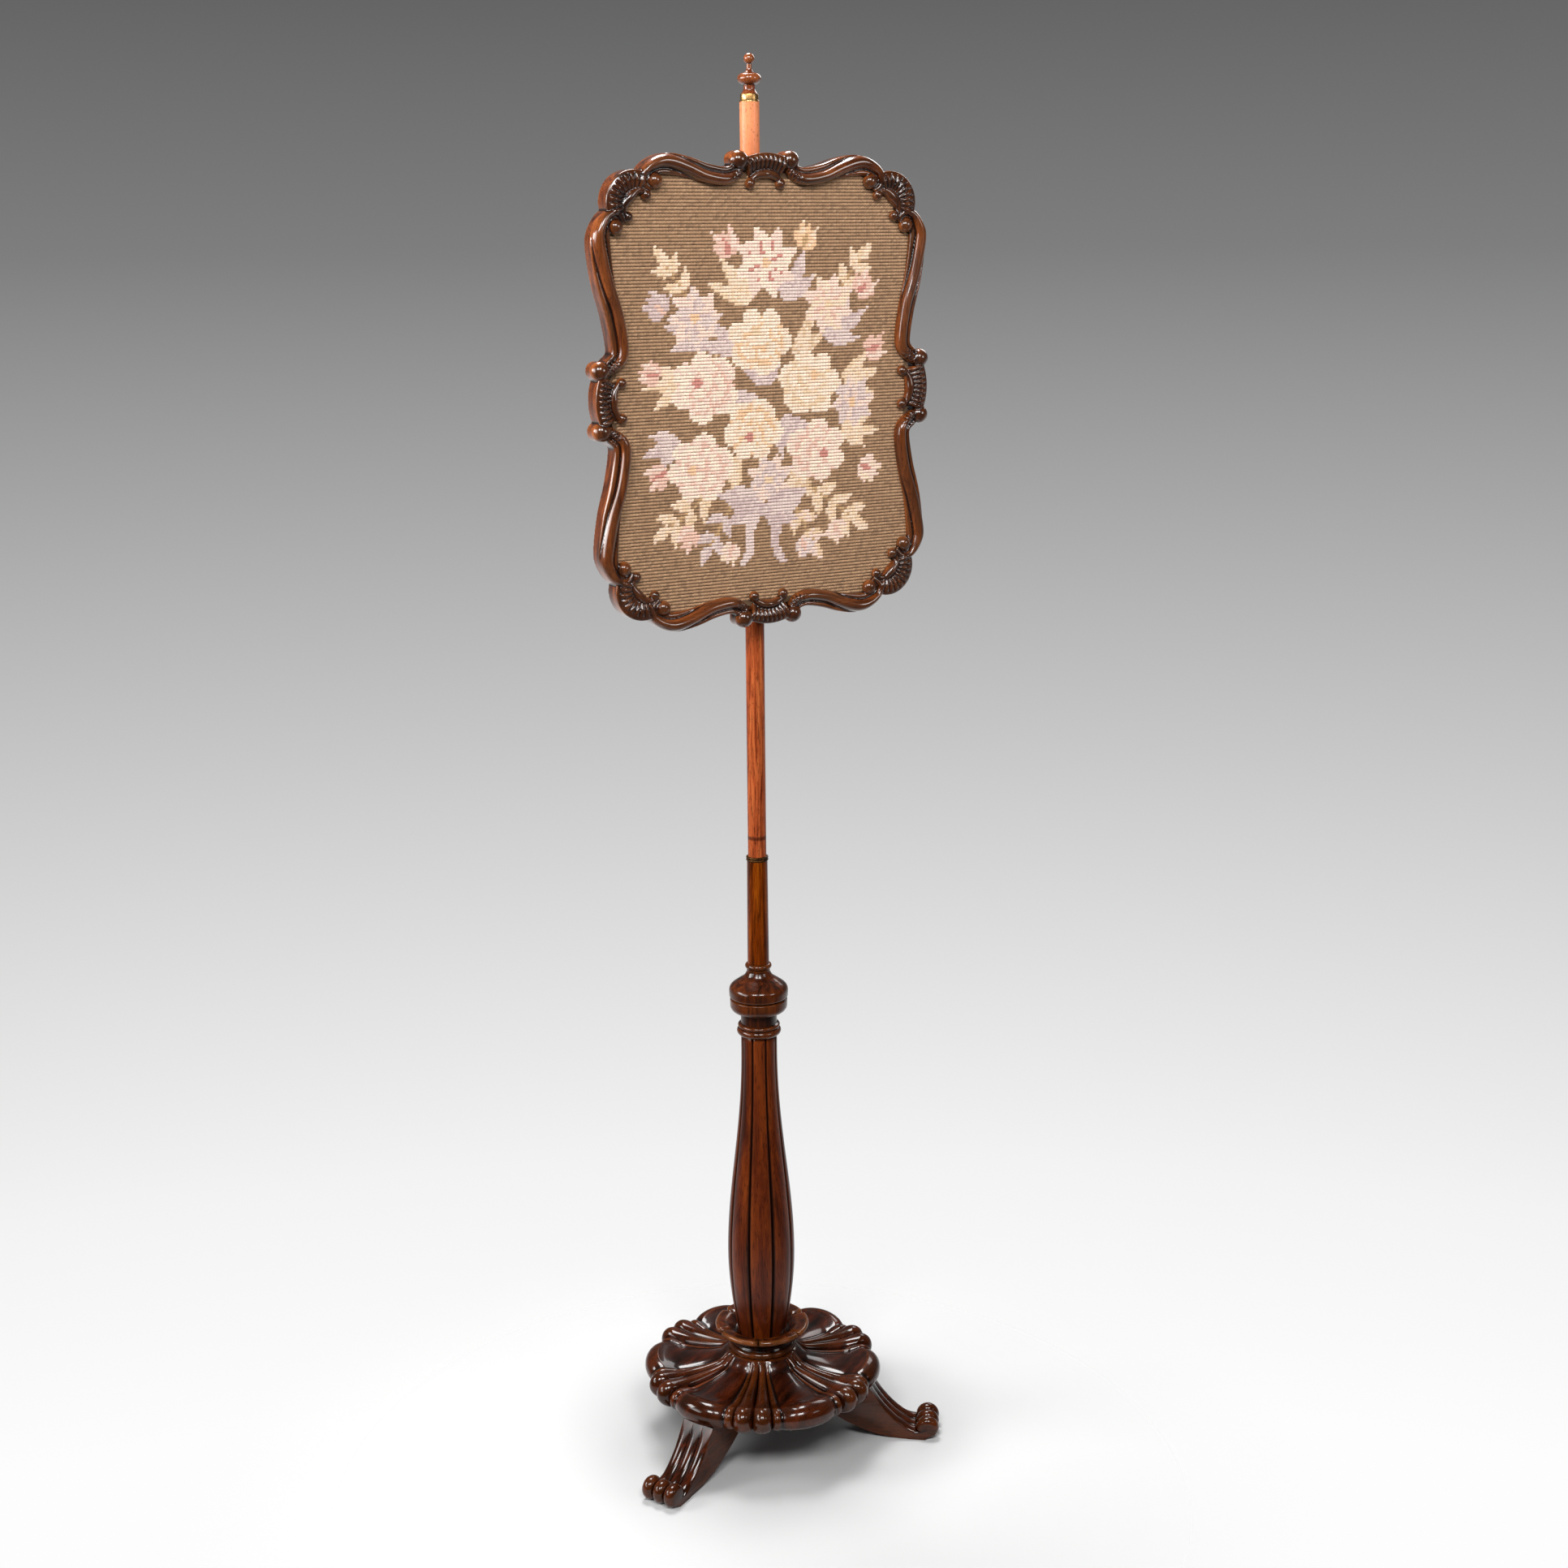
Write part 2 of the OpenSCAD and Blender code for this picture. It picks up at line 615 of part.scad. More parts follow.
// Fan of gadroon ribs about a centre, its middle rib pointing away from it at the angle facing
module fan(x, z, inner, outer, facing, spread, ribs) {
    steps = 2 * ribs;
    rings = [for (i = [0:steps])
        let (a = facing - spread + 2 * spread * i / steps, rib = i % 2,
            low = frame_depth * 0.66, edge = outer - 1.6 * (1 - rib))
        [for (p = [[inner, 0], [inner, low], [inner * 0.4 + outer * 0.6, low + 3 * rib + 1],
                [edge, low - 4 + 2 * rib], [edge, 0]])
            [x + p[0] * cos(a), -p[1], z + p[0] * sin(a)]]];
    loft(rings);
}

// Inner C scroll of an ornament, along a list of [along, outward, width, share of the height] points
module c_scroll(points) {
    loft(sweep_rings(spline(points, 2), frame_depth, 0, 1, 5));
}

module corner_ornament(length) {
    x = length - fan_inset;
    tip = [length - small_eye_inset[0], -small_eye_inset[1]];
    turn = [length - small_eye_inset[1], -small_eye_inset[0]];
    fan(x, -fan_inset, 7, fan_radius, 45, 74, 8);
    c_scroll([[tip[0], tip[1] + 3, 5, 0.8], [x - 4, -fan_inset + 11, 8, 0.85],
        [x + 4.5, -fan_inset + 4.5, 10, 0.9], [x + 11, -fan_inset - 4, 8, 0.85],
        [turn[0] + 3, turn[1], 5, 0.8]]);
}

module mid_ornament() {
    depth = mid_eye[1];
    fan(0, -2 * depth, 1.35 * depth, 2 * depth, 90, 25, 8);
    c_scroll([[-mid_eye[0], -depth + 3, 5, 0.8], [-mid_eye[0] / 2, -depth + 8, 8, 0.85],
        [0, -depth + 9, 9, 0.9], [mid_eye[0] / 2, -depth + 8, 8, 0.85], [mid_eye[0], -depth + 3, 5, 0.8]]);
}

// Share of a rail's width that its roll takes up
roll_share = 0.66;

// Carving of half a member
module half_carving(length, dip) {
    loft(sweep_rings(spline(rail_line(length, dip), 2), frame_depth, 1 - roll_share, roll_share, 8));
    eye(length - eye_inset[0], -eye_inset[1], 8, frame_depth, 10);
    eye(length - small_eye_inset[0], -small_eye_inset[1], 5.5, frame_depth * 0.86, 8);
    eye(mid_scroll[0], -mid_scroll[1], 9, frame_depth, 10);
    eye(mid_eye[0], -mid_eye[1], 5.5, frame_depth * 0.86, 8);
    corner_ornament(length);
}

// Edge of the panel along half a member, from its middle to the mitre
function panel_edge(length, dip) =
    concat([[0, -mid_eye[1] + 11], [mid_scroll[0] - 8, -mid_eye[1] + 10]],
        [for (k = [0:8]) rail_sweep(length, dip, k / 8)],
        [[length - eye_inset[0] + 3, -eye_inset[1] + 8.5],
            [length - small_eye_inset[0] + 4, -small_eye_inset[1] + 9],
            [length - fan_inset + 7, -fan_inset + 7]]);

// One quarter of the panel's outline, grown a little, from the middle of its top to that of its side
function panel_quarter(grow) =
    let (side = panel_edge(half_height, stile_dip))
    concat([for (p = panel_edge(half_width, rail_dip)) [p[0], half_height + p[1] + grow]],
        [for (i = [len(side) - 2:-1:0]) [half_width + side[i][1] + grow, side[i][0]]]);

// Outline of the panel, seen from the front
module panel_outline(grow) {
    q = panel_quarter(grow);
    last = len(q) - 1;
    polygon(concat(q, [for (i = [last - 1:-1:0]) [q[i][0], -q[i][1]]],
        [for (i = [1:last]) [-q[i][0], -q[i][1]]], [for (i = [last - 1:-1:1]) [-q[i][0], q[i][1]]]));
}

// Flat piece with the panel's outline, between two depths in front of the frame's back
module panel_slab(from, to, grow) {
    translate([0, -frame_back - from, z_screen]) rotate([90, 0, 0])
        linear_extrude(to - from) panel_outline(grow);
}

// Places of the brads along a member, at the middle of each sweep
function brad_place(length, dip) = rail_sweep(length, dip, 0.5);

module brads(length, dip, radius, sides) {
    p = brad_place(length, dip);
    for (x = [-1, 1]) translate([x * p[0], -panel_back + brad_radius + glue_fit, p[1] - brad_length / 2])
        cylinder(r = radius, h = brad_length, $fn = sides);
}

// Puts what is drawn along X onto one of the frame's four sides, turned about the frame's centre
module on_side(turn) {
    reach = turn % 180 == 0 ? half_height : half_width;
    translate([0, -frame_back, z_screen]) rotate([0, turn, 0]) translate([0, 0, reach]) children();
}

module frame_member(turn) {
    upright = turn % 180 != 0;
    length = upright ? half_height : half_width;
    dip = upright ? stile_dip : rail_dip;
    reach = 70;
    color([0.3, 0.16, 0.09]) difference() {
        on_side(turn) intersection() {
            union() {
                half_carving(length, dip);
                mirror([1, 0, 0]) half_carving(length, dip);
                mid_ornament();
            }
            rotate([90, 0, 0]) linear_extrude(frame_depth + over)
                polygon([[-length - over, over], [length + over, over], [length - reach, -reach],
                    [-length + reach, -reach]]);
        }
        panel_slab(-over, canvas_front, wood_fit);
        on_side(turn) brads(length, dip, brad_radius + wood_fit, 8);
        if (!upright) bracket_screw_places(turn)
            cylinder(r = screw_radius + 2 * wood_fit, h = 2 * screw_length + over, center = true, $fn = 12);
    }
}

module frame_top() {
    frame_member(0);
}

module frame_bottom() {
    frame_member(180);
}

module frame_left() {
    frame_member(270);
}

module frame_right() {
    frame_member(90);
}

// Needlework panel

module needlework() {
    color([0.45, 0.37, 0.25]) panel_slab(canvas_back, canvas_front, 0);
}

// Half the width and half the height of the opening in the strainer
opening_x = half_width - stile_dip - strainer_bar;
opening_z = half_height - rail_dip - strainer_bar;

// Part of the strainer inside a box about its middle, given as its corners on the frame's face
module strainer_part(low, high) {
    color([0.62, 0.47, 0.3]) intersection() {
        panel_slab(strainer_back, canvas_back, 0);
        translate([low[0], -frame_back - canvas_back - over, z_screen + low[1]])
            cube([high[0] - low[0], strainer_thickness + 2 * over, high[1] - low[1]]);
    }
}

module strainer_left() {
    strainer_part([-half_width, -half_height], [-opening_x, half_height]);
}

module strainer_right() {
    strainer_part([opening_x, -half_height], [half_width, half_height]);
}

module strainer_top() {
    strainer_part([-opening_x, opening_z], [opening_x, half_height]);
}

module strainer_bottom() {
    strainer_part([-opening_x, -half_height], [opening_x, -opening_z]);
}

module back_panel() {
    color([0.38, 0.2, 0.11]) panel_slab(panel_back, strainer_back, 0);
}

module panel_brads() {
    color("silver") for (turn = [0, 90, 180, 270]) on_side(turn)
        if (turn % 180 == 0) brads(half_width, rail_dip, brad_radius, 24);
        else brads(half_height, stile_dip, brad_radius, 24);
}

// Brackets

// Height of a bracket's middle on the top (turn 0) or bottom (turn 180) rail
function bracket_z(turn) = z_screen + (half_height - bracket_inset) * (turn == 0 ? 1 : -1);

// Places of a bracket's screws on the frame's back, with +Z pointing out of the wood
module bracket_screw_places(turn) {
    for (x = [-1, 1]) translate([x * screw_offset, -frame_back, bracket_z(turn)])
        rotate([-90, 0, 0]) children();
}

screw_head = 2 * screw_radius;

// Countersunk screw, grown by a clearance, with its head flush in the plate
module bracket_screw(grow) {
    rotate_extrude() polygon([[0, -screw_length], [screw_radius + grow, -screw_length],
        [screw_radius + grow, bracket_plate - screw_radius], [screw_head + grow, bracket_plate],
        [0, bracket_plate]]);
}

module bracket(turn) {
    difference() {
        union() {
            translate([-bracket_width / 2, -frame_back, bracket_z(turn) - bracket_height / 2])
                cube([bracket_width, bracket_plate, bracket_height]);
            translate([0, 0, bracket_z(turn) - bracket_height / 2])
                cylinder(r = bracket_ring, h = bracket_height);
            children();
        }
        bore(pole_radius + run_fit, bracket_z(turn) - bracket_height, bracket_z(turn) + bracket_height);
        bracket_screw_places(turn) bracket_screw(glue_fit);
    }
}

thumb_boss = thumb_shank + 2.5;
thumb_boss_end = bracket_ring + 5;
thumb_thickness = 6;

module bracket_upper() {
    color([0.75, 0.6, 0.32]) difference() {
        bracket(0) translate([0, 0, bracket_z(0)]) rotate([-90, 0, 0])
            cylinder(r = thumb_boss, h = thumb_boss_end);
        translate([0, 0, bracket_z(0)]) rotate([-90, 0, 0])
            cylinder(r = thumb_shank + run_fit, h = thumb_boss_end + over);
    }
}

module bracket_lower() {
    color([0.75, 0.6, 0.32]) bracket(180);
}

module bracket_screws() {
    color([0.7, 0.56, 0.3]) for (turn = [0, 180]) bracket_screw_places(turn) bracket_screw(0);
}

module thumbscrew() {
    tip = pole_radius + 0.3;
    head = thumb_boss_end + 2;
    notches = 14;
    color([0.78, 0.63, 0.34]) translate([0, 0, bracket_z(0)]) rotate([-90, 0, 0]) difference() {
        rotate_extrude() polygon([[0, tip], [thumb_shank - 0.5, tip], [thumb_shank, tip + 0.5],
            [thumb_shank, head], [thumb_head - 1, head], [thumb_head, head + 1],
            [thumb_head, head + thumb_thickness - 1], [thumb_head - 1, head + thumb_thickness],
            [0, head + thumb_thickness]]);
        for (i = [0:notches - 1]) rotate(360 * i / notches) translate([thumb_head + 0.4, 0, head - over])
            cylinder(r = 1.2, h = thumb_thickness + 2 * over, $fn = 16);
    }
}

leg_front_left();
leg_front_right();
leg_rear();
leg_dowels();
platform();
collar_base();
petal_collar();
column();
capital();
knop();
sleeve();
sleeve_ring();
pole();
ferrule();
finial();
frame_top();
frame_bottom();
frame_left();
frame_right();
needlework();
strainer_left();
strainer_right();
strainer_top();
strainer_bottom();
back_panel();
panel_brads();
bracket_upper();
bracket_lower();
bracket_screws();
thumbscrew();
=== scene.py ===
import math
from functools import partial

import bmesh
import bpy
import numpy as np
from mathutils import Matrix, Vector


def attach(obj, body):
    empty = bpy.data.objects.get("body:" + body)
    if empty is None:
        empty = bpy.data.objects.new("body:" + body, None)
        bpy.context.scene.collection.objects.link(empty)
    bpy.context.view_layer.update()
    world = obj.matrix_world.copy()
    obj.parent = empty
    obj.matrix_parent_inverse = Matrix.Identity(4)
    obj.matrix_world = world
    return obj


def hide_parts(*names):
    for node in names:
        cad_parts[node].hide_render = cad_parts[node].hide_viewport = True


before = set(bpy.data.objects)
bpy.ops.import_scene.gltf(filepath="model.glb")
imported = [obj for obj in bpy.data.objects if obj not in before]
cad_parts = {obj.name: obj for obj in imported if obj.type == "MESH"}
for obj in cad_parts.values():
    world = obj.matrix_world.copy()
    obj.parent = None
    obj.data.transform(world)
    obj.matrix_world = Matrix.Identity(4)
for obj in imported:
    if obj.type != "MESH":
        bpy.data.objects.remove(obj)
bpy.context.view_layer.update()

# Legs
# Three legs sawn and carved from rosewood sweep out from under the platform to scrolled toes. Two grooves
# leave three reeds along the top, and each reed ends in a round bulb.

leg_angles = {"leg_front_left": 205, "leg_front_right": -35, "leg_rear": 85}
leg_reach, leg_height, leg_width, leg_groove = 195.0, 60.0, 38.0, 4.0
toe_height, toe_width, toe_groove = 25.0, 42.0, 6.5
leg_root, leg_rim, leg_end = leg_reach * 0.233, leg_reach * 0.611, leg_height / 12
toe_radius = toe_height / 2
toe_hollow = (leg_reach - 2.1 * toe_radius, toe_height / 2)
base_tones, upright = ("#100401", "#290D04", "#481A07", "#6E3610"), (0, -math.pi / 2, 0)


def arc(x, y, radius, start, end, steps):
    """Points on an arc about x, y, between two angles in degrees."""
    a = np.radians(np.linspace(start, end, steps))
    return np.c_[x + radius * np.cos(a), y + radius * np.sin(a)]


def loft(rings, closed=False):
    """Shell through a stack of equal rings; an open stack gets a cap at each end."""
    rings = np.asarray(rings, float)
    n, m = rings.shape[:2]
    index = np.arange(n * m).reshape(n, m)
    low = index if closed else index[:-1]
    high = np.roll(index, -1, 0) if closed else index[1:]
    faces = np.stack([low, np.roll(low, -1, 1), np.roll(high, -1, 1), high], -1).reshape(-1, 4).tolist()
    if not closed:
        faces += [index[0, ::-1].tolist(), index[-1].tolist()]
    return rings.reshape(-1, 3), faces


def plain_mesh(name, *shells):
    """One mesh from closed shells in millimetres, doubles merged and faces turned outwards."""
    bm = bmesh.new()
    for points, faces in shells:
        verts = [bm.verts.new(p) for p in np.asarray(points) * 0.001]
        for face in faces:
            bm.faces.new([verts[i] for i in face])
    bmesh.ops.remove_doubles(bm, verts=bm.verts, dist=1e-6)
    bmesh.ops.recalc_face_normals(bm, faces=bm.faces)
    mesh = bpy.data.meshes.new(name)
    bm.to_mesh(mesh)
    bm.free()
    return mesh


def read(mesh, what):
    """Places or normals of a mesh's vertices, one row each."""
    rows = np.zeros(3 * len(mesh.vertices))
    mesh.vertices.foreach_get(what, rows)
    return rows.reshape(-1, 3)


def mark(mesh, name, values):
    """Stores one number per vertex under a name, for a material to read."""
    layer = mesh.attributes.new(name, "FLOAT", "POINT")
    layer.data.foreach_set("value", values.astype(np.float32))


def mark_wear(mesh, reach, rounds):
    """Marks how far each place stands out, from -1 in a hollow to 1 on a ridge that is reach metres round;
    materials rub the ridges light as wear and darken the hollows with painted shade.
    """
    place, out, ends = read(mesh, "co"), read(mesh, "normal"), np.zeros(2 * len(mesh.edges), int)
    mesh.edges.foreach_get("vertices", ends)
    n, ends = len(place), ends.reshape(-1, 2)
    a, b = np.r_[ends[:, 0], ends[:, 1]], np.r_[ends[:, 1], ends[:, 0]]
    step = place[b] - place[a]
    length = np.linalg.norm(step, axis=1) + 1e-9
    degree = np.maximum(np.bincount(a, minlength=n), 1)
    bend = -np.einsum("ij,ij->i", step, out[a]) / length ** 2
    wear = np.clip(np.bincount(a, bend, n) / degree * 2 * reach, -2, 2)
    for _ in range(rounds):
        wear = (wear + np.bincount(a, wear[b], n) / degree) / 2
    mark(mesh, "wear", np.clip(wear, -1, 1))


def put(name, data):
    """Object for a mesh, lamp or camera, linked into the scene."""
    piece = bpy.data.objects.new(name, data)
    bpy.context.scene.collection.objects.link(piece)
    return piece


def dress(mesh, material):
    """Gives a mesh its one material."""
    mesh.materials.clear()
    mesh.materials.append(material)


def show(name, mesh, material, body, slot, *stands_for, wear=None, sharp=50):
    """Puts a finished mesh into the scene on its body, in place of the CAD nodes that it stands for;
    wear is what mark_wear takes."""
    if wear:
        mark_wear(mesh, *wear)
    piece = put(name, mesh)
    dress(mesh, material)
    mesh.polygons.foreach_set("use_smooth", [True] * len(mesh.polygons))
    mesh.set_sharp_from_angle(angle=math.radians(sharp))
    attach(piece, body)
    if stands_for:
        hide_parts(*stands_for)
    return piece


def hexa(code):
    """Linear colour from an sRGB hex value."""
    part = [int(code[i:i + 2], 16) / 255 for i in (1, 3, 5)]
    return [c / 12.92 if c <= 0.04045 else ((c + 0.055) / 1.055) ** 2.4 for c in part] + [1.0]


def add(tree, kind, links=(), stops=(), **settings):
    """Adds one node with its settings; a bare kind is a shader node's. links gives sockets, in order or by
    key, a value, hex colour, output, or node for its first output; stops are a ramp's places and colours."""
    node = tree.nodes.new(kind if "Node" in kind else "ShaderNode" + kind)
    for key, value in settings.items():
        setattr(node, key, value)
    for i, (place, code) in enumerate(stops):
        element = node.color_ramp.elements[i] if i < 2 else node.color_ramp.elements.new(1.0)
        element.position, element.color = place, hexa(code)
    for socket, value in links.items() if isinstance(links, dict) else enumerate(links):
        if isinstance(value, bpy.types.Node):
            value = next(output for output in value.outputs if output.enabled)
        if isinstance(value, bpy.types.NodeSocket):
            tree.links.new(value, node.inputs[socket])
        else:
            node.inputs[socket].default_value = hexa(value) if isinstance(value, str) else value
    return node


def blank(name):
    """New material without nodes, what adds nodes to it, and the Object coordinates of its piece."""
    material = bpy.data.materials.new(name)
    material.use_nodes = True
    material.node_tree.nodes.clear()
    node = partial(add, material.node_tree)
    return material, node, node("TexCoord").outputs["Object"]


def polished_wood(name, tones, turn=upright, streak=(0.15, 0.011), worn=0.4, hollow_shade=0.88, dull=0.27,
                  gloss=0.55):
    """French-polished hardwood. tones are its dark veins, body, light veins and the rubbed ridges; turn is
    how the grain is turned from X; streak is the length and width of a vein in metres.
    It gives soft dark veins, fine open pores, painted shade in the hollows and on marked faces, rubbed ridges
    and a waxy gloss.
    The pores are 14 mm long and 0.9 mm wide, coarser than real ones so that they show, and the patches of
    rubbing and of gloss are about 45 mm across."""
    material, node, place = blank(name)
    veins = node("Mapping", {"Vector": place, "Rotation": turn, "Scale": (*streak, streak[1])},
                 vector_type="TEXTURE")
    figure = node("TexNoise", {"Vector": veins, "Scale": 1.0, "Detail": 5.0, "Roughness": 0.6,
                               "Distortion": 0.7})
    grain = node("Mapping", {"Vector": place, "Rotation": turn, "Scale": (0.014, 0.0009, 0.0009)},
                 vector_type="TEXTURE")
    pores = node("TexNoise", {"Vector": grain, "Scale": 1.0, "Detail": 3.0})
    patches = node("TexNoise", {"Vector": place, "Scale": 22.0, "Detail": 3.0})
    wear = node("Attribute", attribute_name="wear").outputs["Fac"]
    shade_paint = node("Attribute", attribute_name="painted_shade").outputs["Fac"]
    body = node("ValToRGB", [figure], stops=zip((0.36, 0.5, 0.68), tones))
    rubbed = node("MapRange", [wear, 0.05, 0.55, 0.0, worn])
    patchy = node("MapRange", [patches, 0.35, 0.65, 0.35, 1.0])
    amount = node("Math", [rubbed, patchy], operation="MULTIPLY")
    ridges = node("Mix", {0: amount, 6: body, 7: tones[3]}, data_type="RGBA")
    # Painted shade: hollows, and places marked painted_shade, are darkened towards near-black #0E0503.
    hollow = node("MapRange", [wear, -0.04, -0.32, 0.0, hollow_shade])
    dark = node("Math", [hollow, shade_paint], operation="MAXIMUM")
    hollows = node("Mix", {0: dark, 6: ridges, 7: "#0E0503"}, data_type="RGBA")
    pitted = node("MapRange", [pores, 0.36, 0.46, 0.45, 1.0])
    colour = node("Mix", {0: 1.0, 6: hollows, 7: pitted}, data_type="RGBA", blend_type="MULTIPLY")
    rough = node("MapRange", [patches, 0.3, 0.7, dull - 0.06, dull + 0.1])
    relief = node("Bump", {"Height": pores, "Strength": 0.05, "Distance": 0.0004})
    shader = node("BsdfPrincipled", {
        "Base Color": colour, "Roughness": rough, "Normal": relief, "IOR": 1.5,
        "Specular IOR Level": 0.05 + gloss * 0.08, "Coat Weight": gloss, "Coat Roughness": 0.5 * dull - 0.03})
    node("OutputMaterial", [shader])
    return material


def leg_outline(reed, bulb):
    """Side outline of a leg as reach and height, cut in by shares of its groove and of its toe's."""
    t = np.linspace(0, 1, 41)
    under = np.c_[leg_root + (leg_reach - 2.6 * toe_radius - leg_root) * t,
                  (leg_height - leg_end) * (1 - t) ** 2]
    t = t[::-1]
    rise = (leg_height - toe_hollow[1]) * (1 - t) ** 1.6
    top = np.c_[leg_rim + (toe_hollow[0] - leg_rim) * t,
                toe_hollow[1] + rise - reed * leg_groove * np.minimum(1, 3 * t)]
    scroll = arc(leg_reach - toe_radius, toe_radius, toe_radius - bulb * toe_groove, -60, 205, 33)
    return np.vstack([under, [leg_reach - 1.2 * toe_radius, 0], scroll, top, [leg_root, leg_height]])


leg_rings = []
for s in np.linspace(1, -1, 73):
    reed = 1 - abs(math.sin(1.5 * math.pi * (s + 1))) ** 0.6
    bulb = 1 - math.sqrt(max(0, 1 - (2 * (1.5 * (s + 1) % 1) - 1) ** 2))
    side = leg_outline(reed, bulb)
    flare = np.clip((side[:, 0] - toe_hollow[0]) / toe_radius + 1, 0, 1)
    breadth = s * (leg_width + (toe_width - leg_width) * (1 - np.cos(math.pi * flare)) / 2) / 2
    leg_rings.append(np.c_[side[:, 0], breadth, side[:, 1]])
for name, angle in leg_angles.items():
    turn = math.radians(angle)
    mesh = plain_mesh(name, loft(leg_rings))
    mesh.transform(Matrix.Rotation(turn, 4, "Z"))
    wood = polished_wood("rosewood_" + name, base_tones, (0, 0, turn), dull=0.24, gloss=0.5)
    show(name + "_carved", mesh, wood, "stand", "rosewood_base", name, wear=(0.004, 4))

# Dowels
# Turned beech pins, glued into leg and platform and out of sight once the stand is together.

beech = polished_wood("oiled_beech", ("#9C7448", "#B98F60", "#CBA678", "#D6B88C"),
                      streak=(0.04, 0.004), dull=0.5)
dress(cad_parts["leg_dowels"].data, beech)

# Platform
# One thick rosewood board carved as an open flower: six broad lobes with rolled rims, parted by pairs of
# narrow reeds, all running in to the bead under the column.

platform_radius, platform_rim, platform_rise = 130.0, 28.0, 10.0
platform_flute, platform_notch, platform_scoop = 10.5, 12.0, 3.0
reed_pair, reed_group, bead_share = 10.0, 14.5, 0.5
collar_bead, tenon_hole, tripod_turn = 37.0, 14.15, -5
seat = leg_height + platform_rim + platform_rise


def swell(a, low, high, power=0.5):
    """Round swell between two angles, 0 at its ends and 1 at its middle."""
    return max(0, 1 - ((2 * a - low - high) / (high - low)) ** 2) ** power


def spline(points, steps):
    """Smooth curve through a list of points, with so many steps between each two."""
    p = np.asarray(points, float)
    q = np.vstack([p[:1], p, p[-1:]])
    t = (np.arange(steps) / steps)[:, None]
    runs = [b + t * (c - a) / 2 + t ** 2 * (a - 2.5 * b + 2 * c - d / 2)
            + t ** 3 * (1.5 * (b - c) + (d - a) / 2) for a, b, c, d in zip(q, q[1:], q[2:], q[3:])]
    return np.vstack(runs + [p[-1:]])


def platform_section(a):
    """Section of the platform in the direction a from a reed pair, as radius and height. A pair of reeds, a
    small bead on each side of it and half of a broad, scooped lobe follow each other in a rolled rim."""
    b = abs((a + 30) % 60 - 30)
    crest = max(swell(b, 0, reed_pair), bead_share * swell(b, reed_pair, reed_group + 1),
                swell(b, reed_group - 1, 61 - reed_group, 0.6))
    sink = platform_flute * (1 - crest)
    scoop = platform_scoop * swell(b, reed_group, 60 - reed_group, 1)
    rim, edge = platform_rim / 2, platform_radius - platform_notch * (1 - crest)
    flat = leg_height + platform_rim
    top = spline([
        [collar_bead + 0.5, seat], [collar_bead + 5, seat - 3.5 - sink * 0.35],
        [collar_bead + 13, flat + 1 - sink * 0.6 - scoop * 0.3],
        [platform_radius * 0.52, flat - 2 - sink * 0.85 - scoop * 0.7],
        [platform_radius * 0.7, flat - 3 - sink - scoop],
        [edge - rim * 1.6, flat - 1.4 - sink * 0.95 - scoop * 0.7], [edge - rim, flat - sink * 0.85]], 6)
    roll = arc(edge - rim, leg_height + rim, rim, 84, -80, 26)
    roll[:, 1] -= sink * 0.85 * np.linspace(1, 0, 26)
    foot = [edge - rim - 2, leg_height]
    return np.vstack([[tenon_hole, leg_height], [tenon_hole, seat], top, roll, foot])


def round_the_pole(sections, angles):
    """Closed shell from sections of radius and height, each turned to its angle in degrees about the pole."""
    return loft([np.c_[s[:, 0] * math.cos(a), s[:, 0] * math.sin(a), s[:, 1]]
                 for s, a in zip(sections, np.radians(angles))], closed=True)


stations = (-reed_pair, 0, reed_pair, reed_group, 60 - reed_group, 60 - reed_pair)
fine = np.concatenate([np.linspace(low, high, n)[:-1]
                       for low, high, n in zip(stations, stations[1:], (17, 17, 13, 41, 13))])
angles = np.concatenate([fine + 60 * k for k in range(6)])
mesh = plain_mesh("platform", round_the_pole([platform_section(a) for a in angles], angles + tripod_turn))
base_wood = polished_wood("rosewood_platform", base_tones, (0, 0, 0.4), streak=(0.12, 0.016), dull=0.24,
                          gloss=0.6)
show("platform_carved", mesh, base_wood, "stand", "rosewood_base", "platform", wear=(0.005, 4))

# Collar
# A turned ring with a bead and a hollow neck, and over it six carved petals that open round the column's
# foot. Hands and dusters have rubbed the petals' lips light.

collar_neck, neck_height, bead_height = 33.0, 8.0, 8.0
petal_radius, petal_height, petal_floor, column_foot = 51.0, 14.0, 4.0, 26.0
petal_slit, petal_sink, lip_round = 6, 3, 3
petal_seat = seat + bead_height + neck_height
column_seat = petal_seat + petal_floor


def show_turned(name, cad_node, profile, foot, *rest, sides=96, **more):
    """Shows a piece that is turned about the pole, drawn as an outline of radius and height over its foot."""
    section = np.asarray(profile) + [0, foot]
    shell = round_the_pole([section] * sides, np.arange(sides) * 360 / sides)
    show(name, plain_mesh(cad_node, shell), *rest, cad_node, **more)


turned_wood = polished_wood("rosewood_turned", ("#1A0902", "#381505", "#552509", "#743C13"),
                            streak=(0.13, 0.008), worn=0.35, hollow_shade=0.4)
bead, top = bead_height / 2, bead_height + neck_height
hollow = [[collar_neck, bead_height], [collar_neck - 1.8, top - neck_height * 0.55], [collar_neck, top]]
ring = np.vstack([[tenon_hole, 0], arc(collar_bead - bead, bead, bead, -90, 90, 20), spline(hollow, 8),
                  [tenon_hole, top]])
show_turned("collar_ring", "collar_base", ring, seat, turned_wood, "stand", "rosewood_base",
            wear=(0.004, 3))


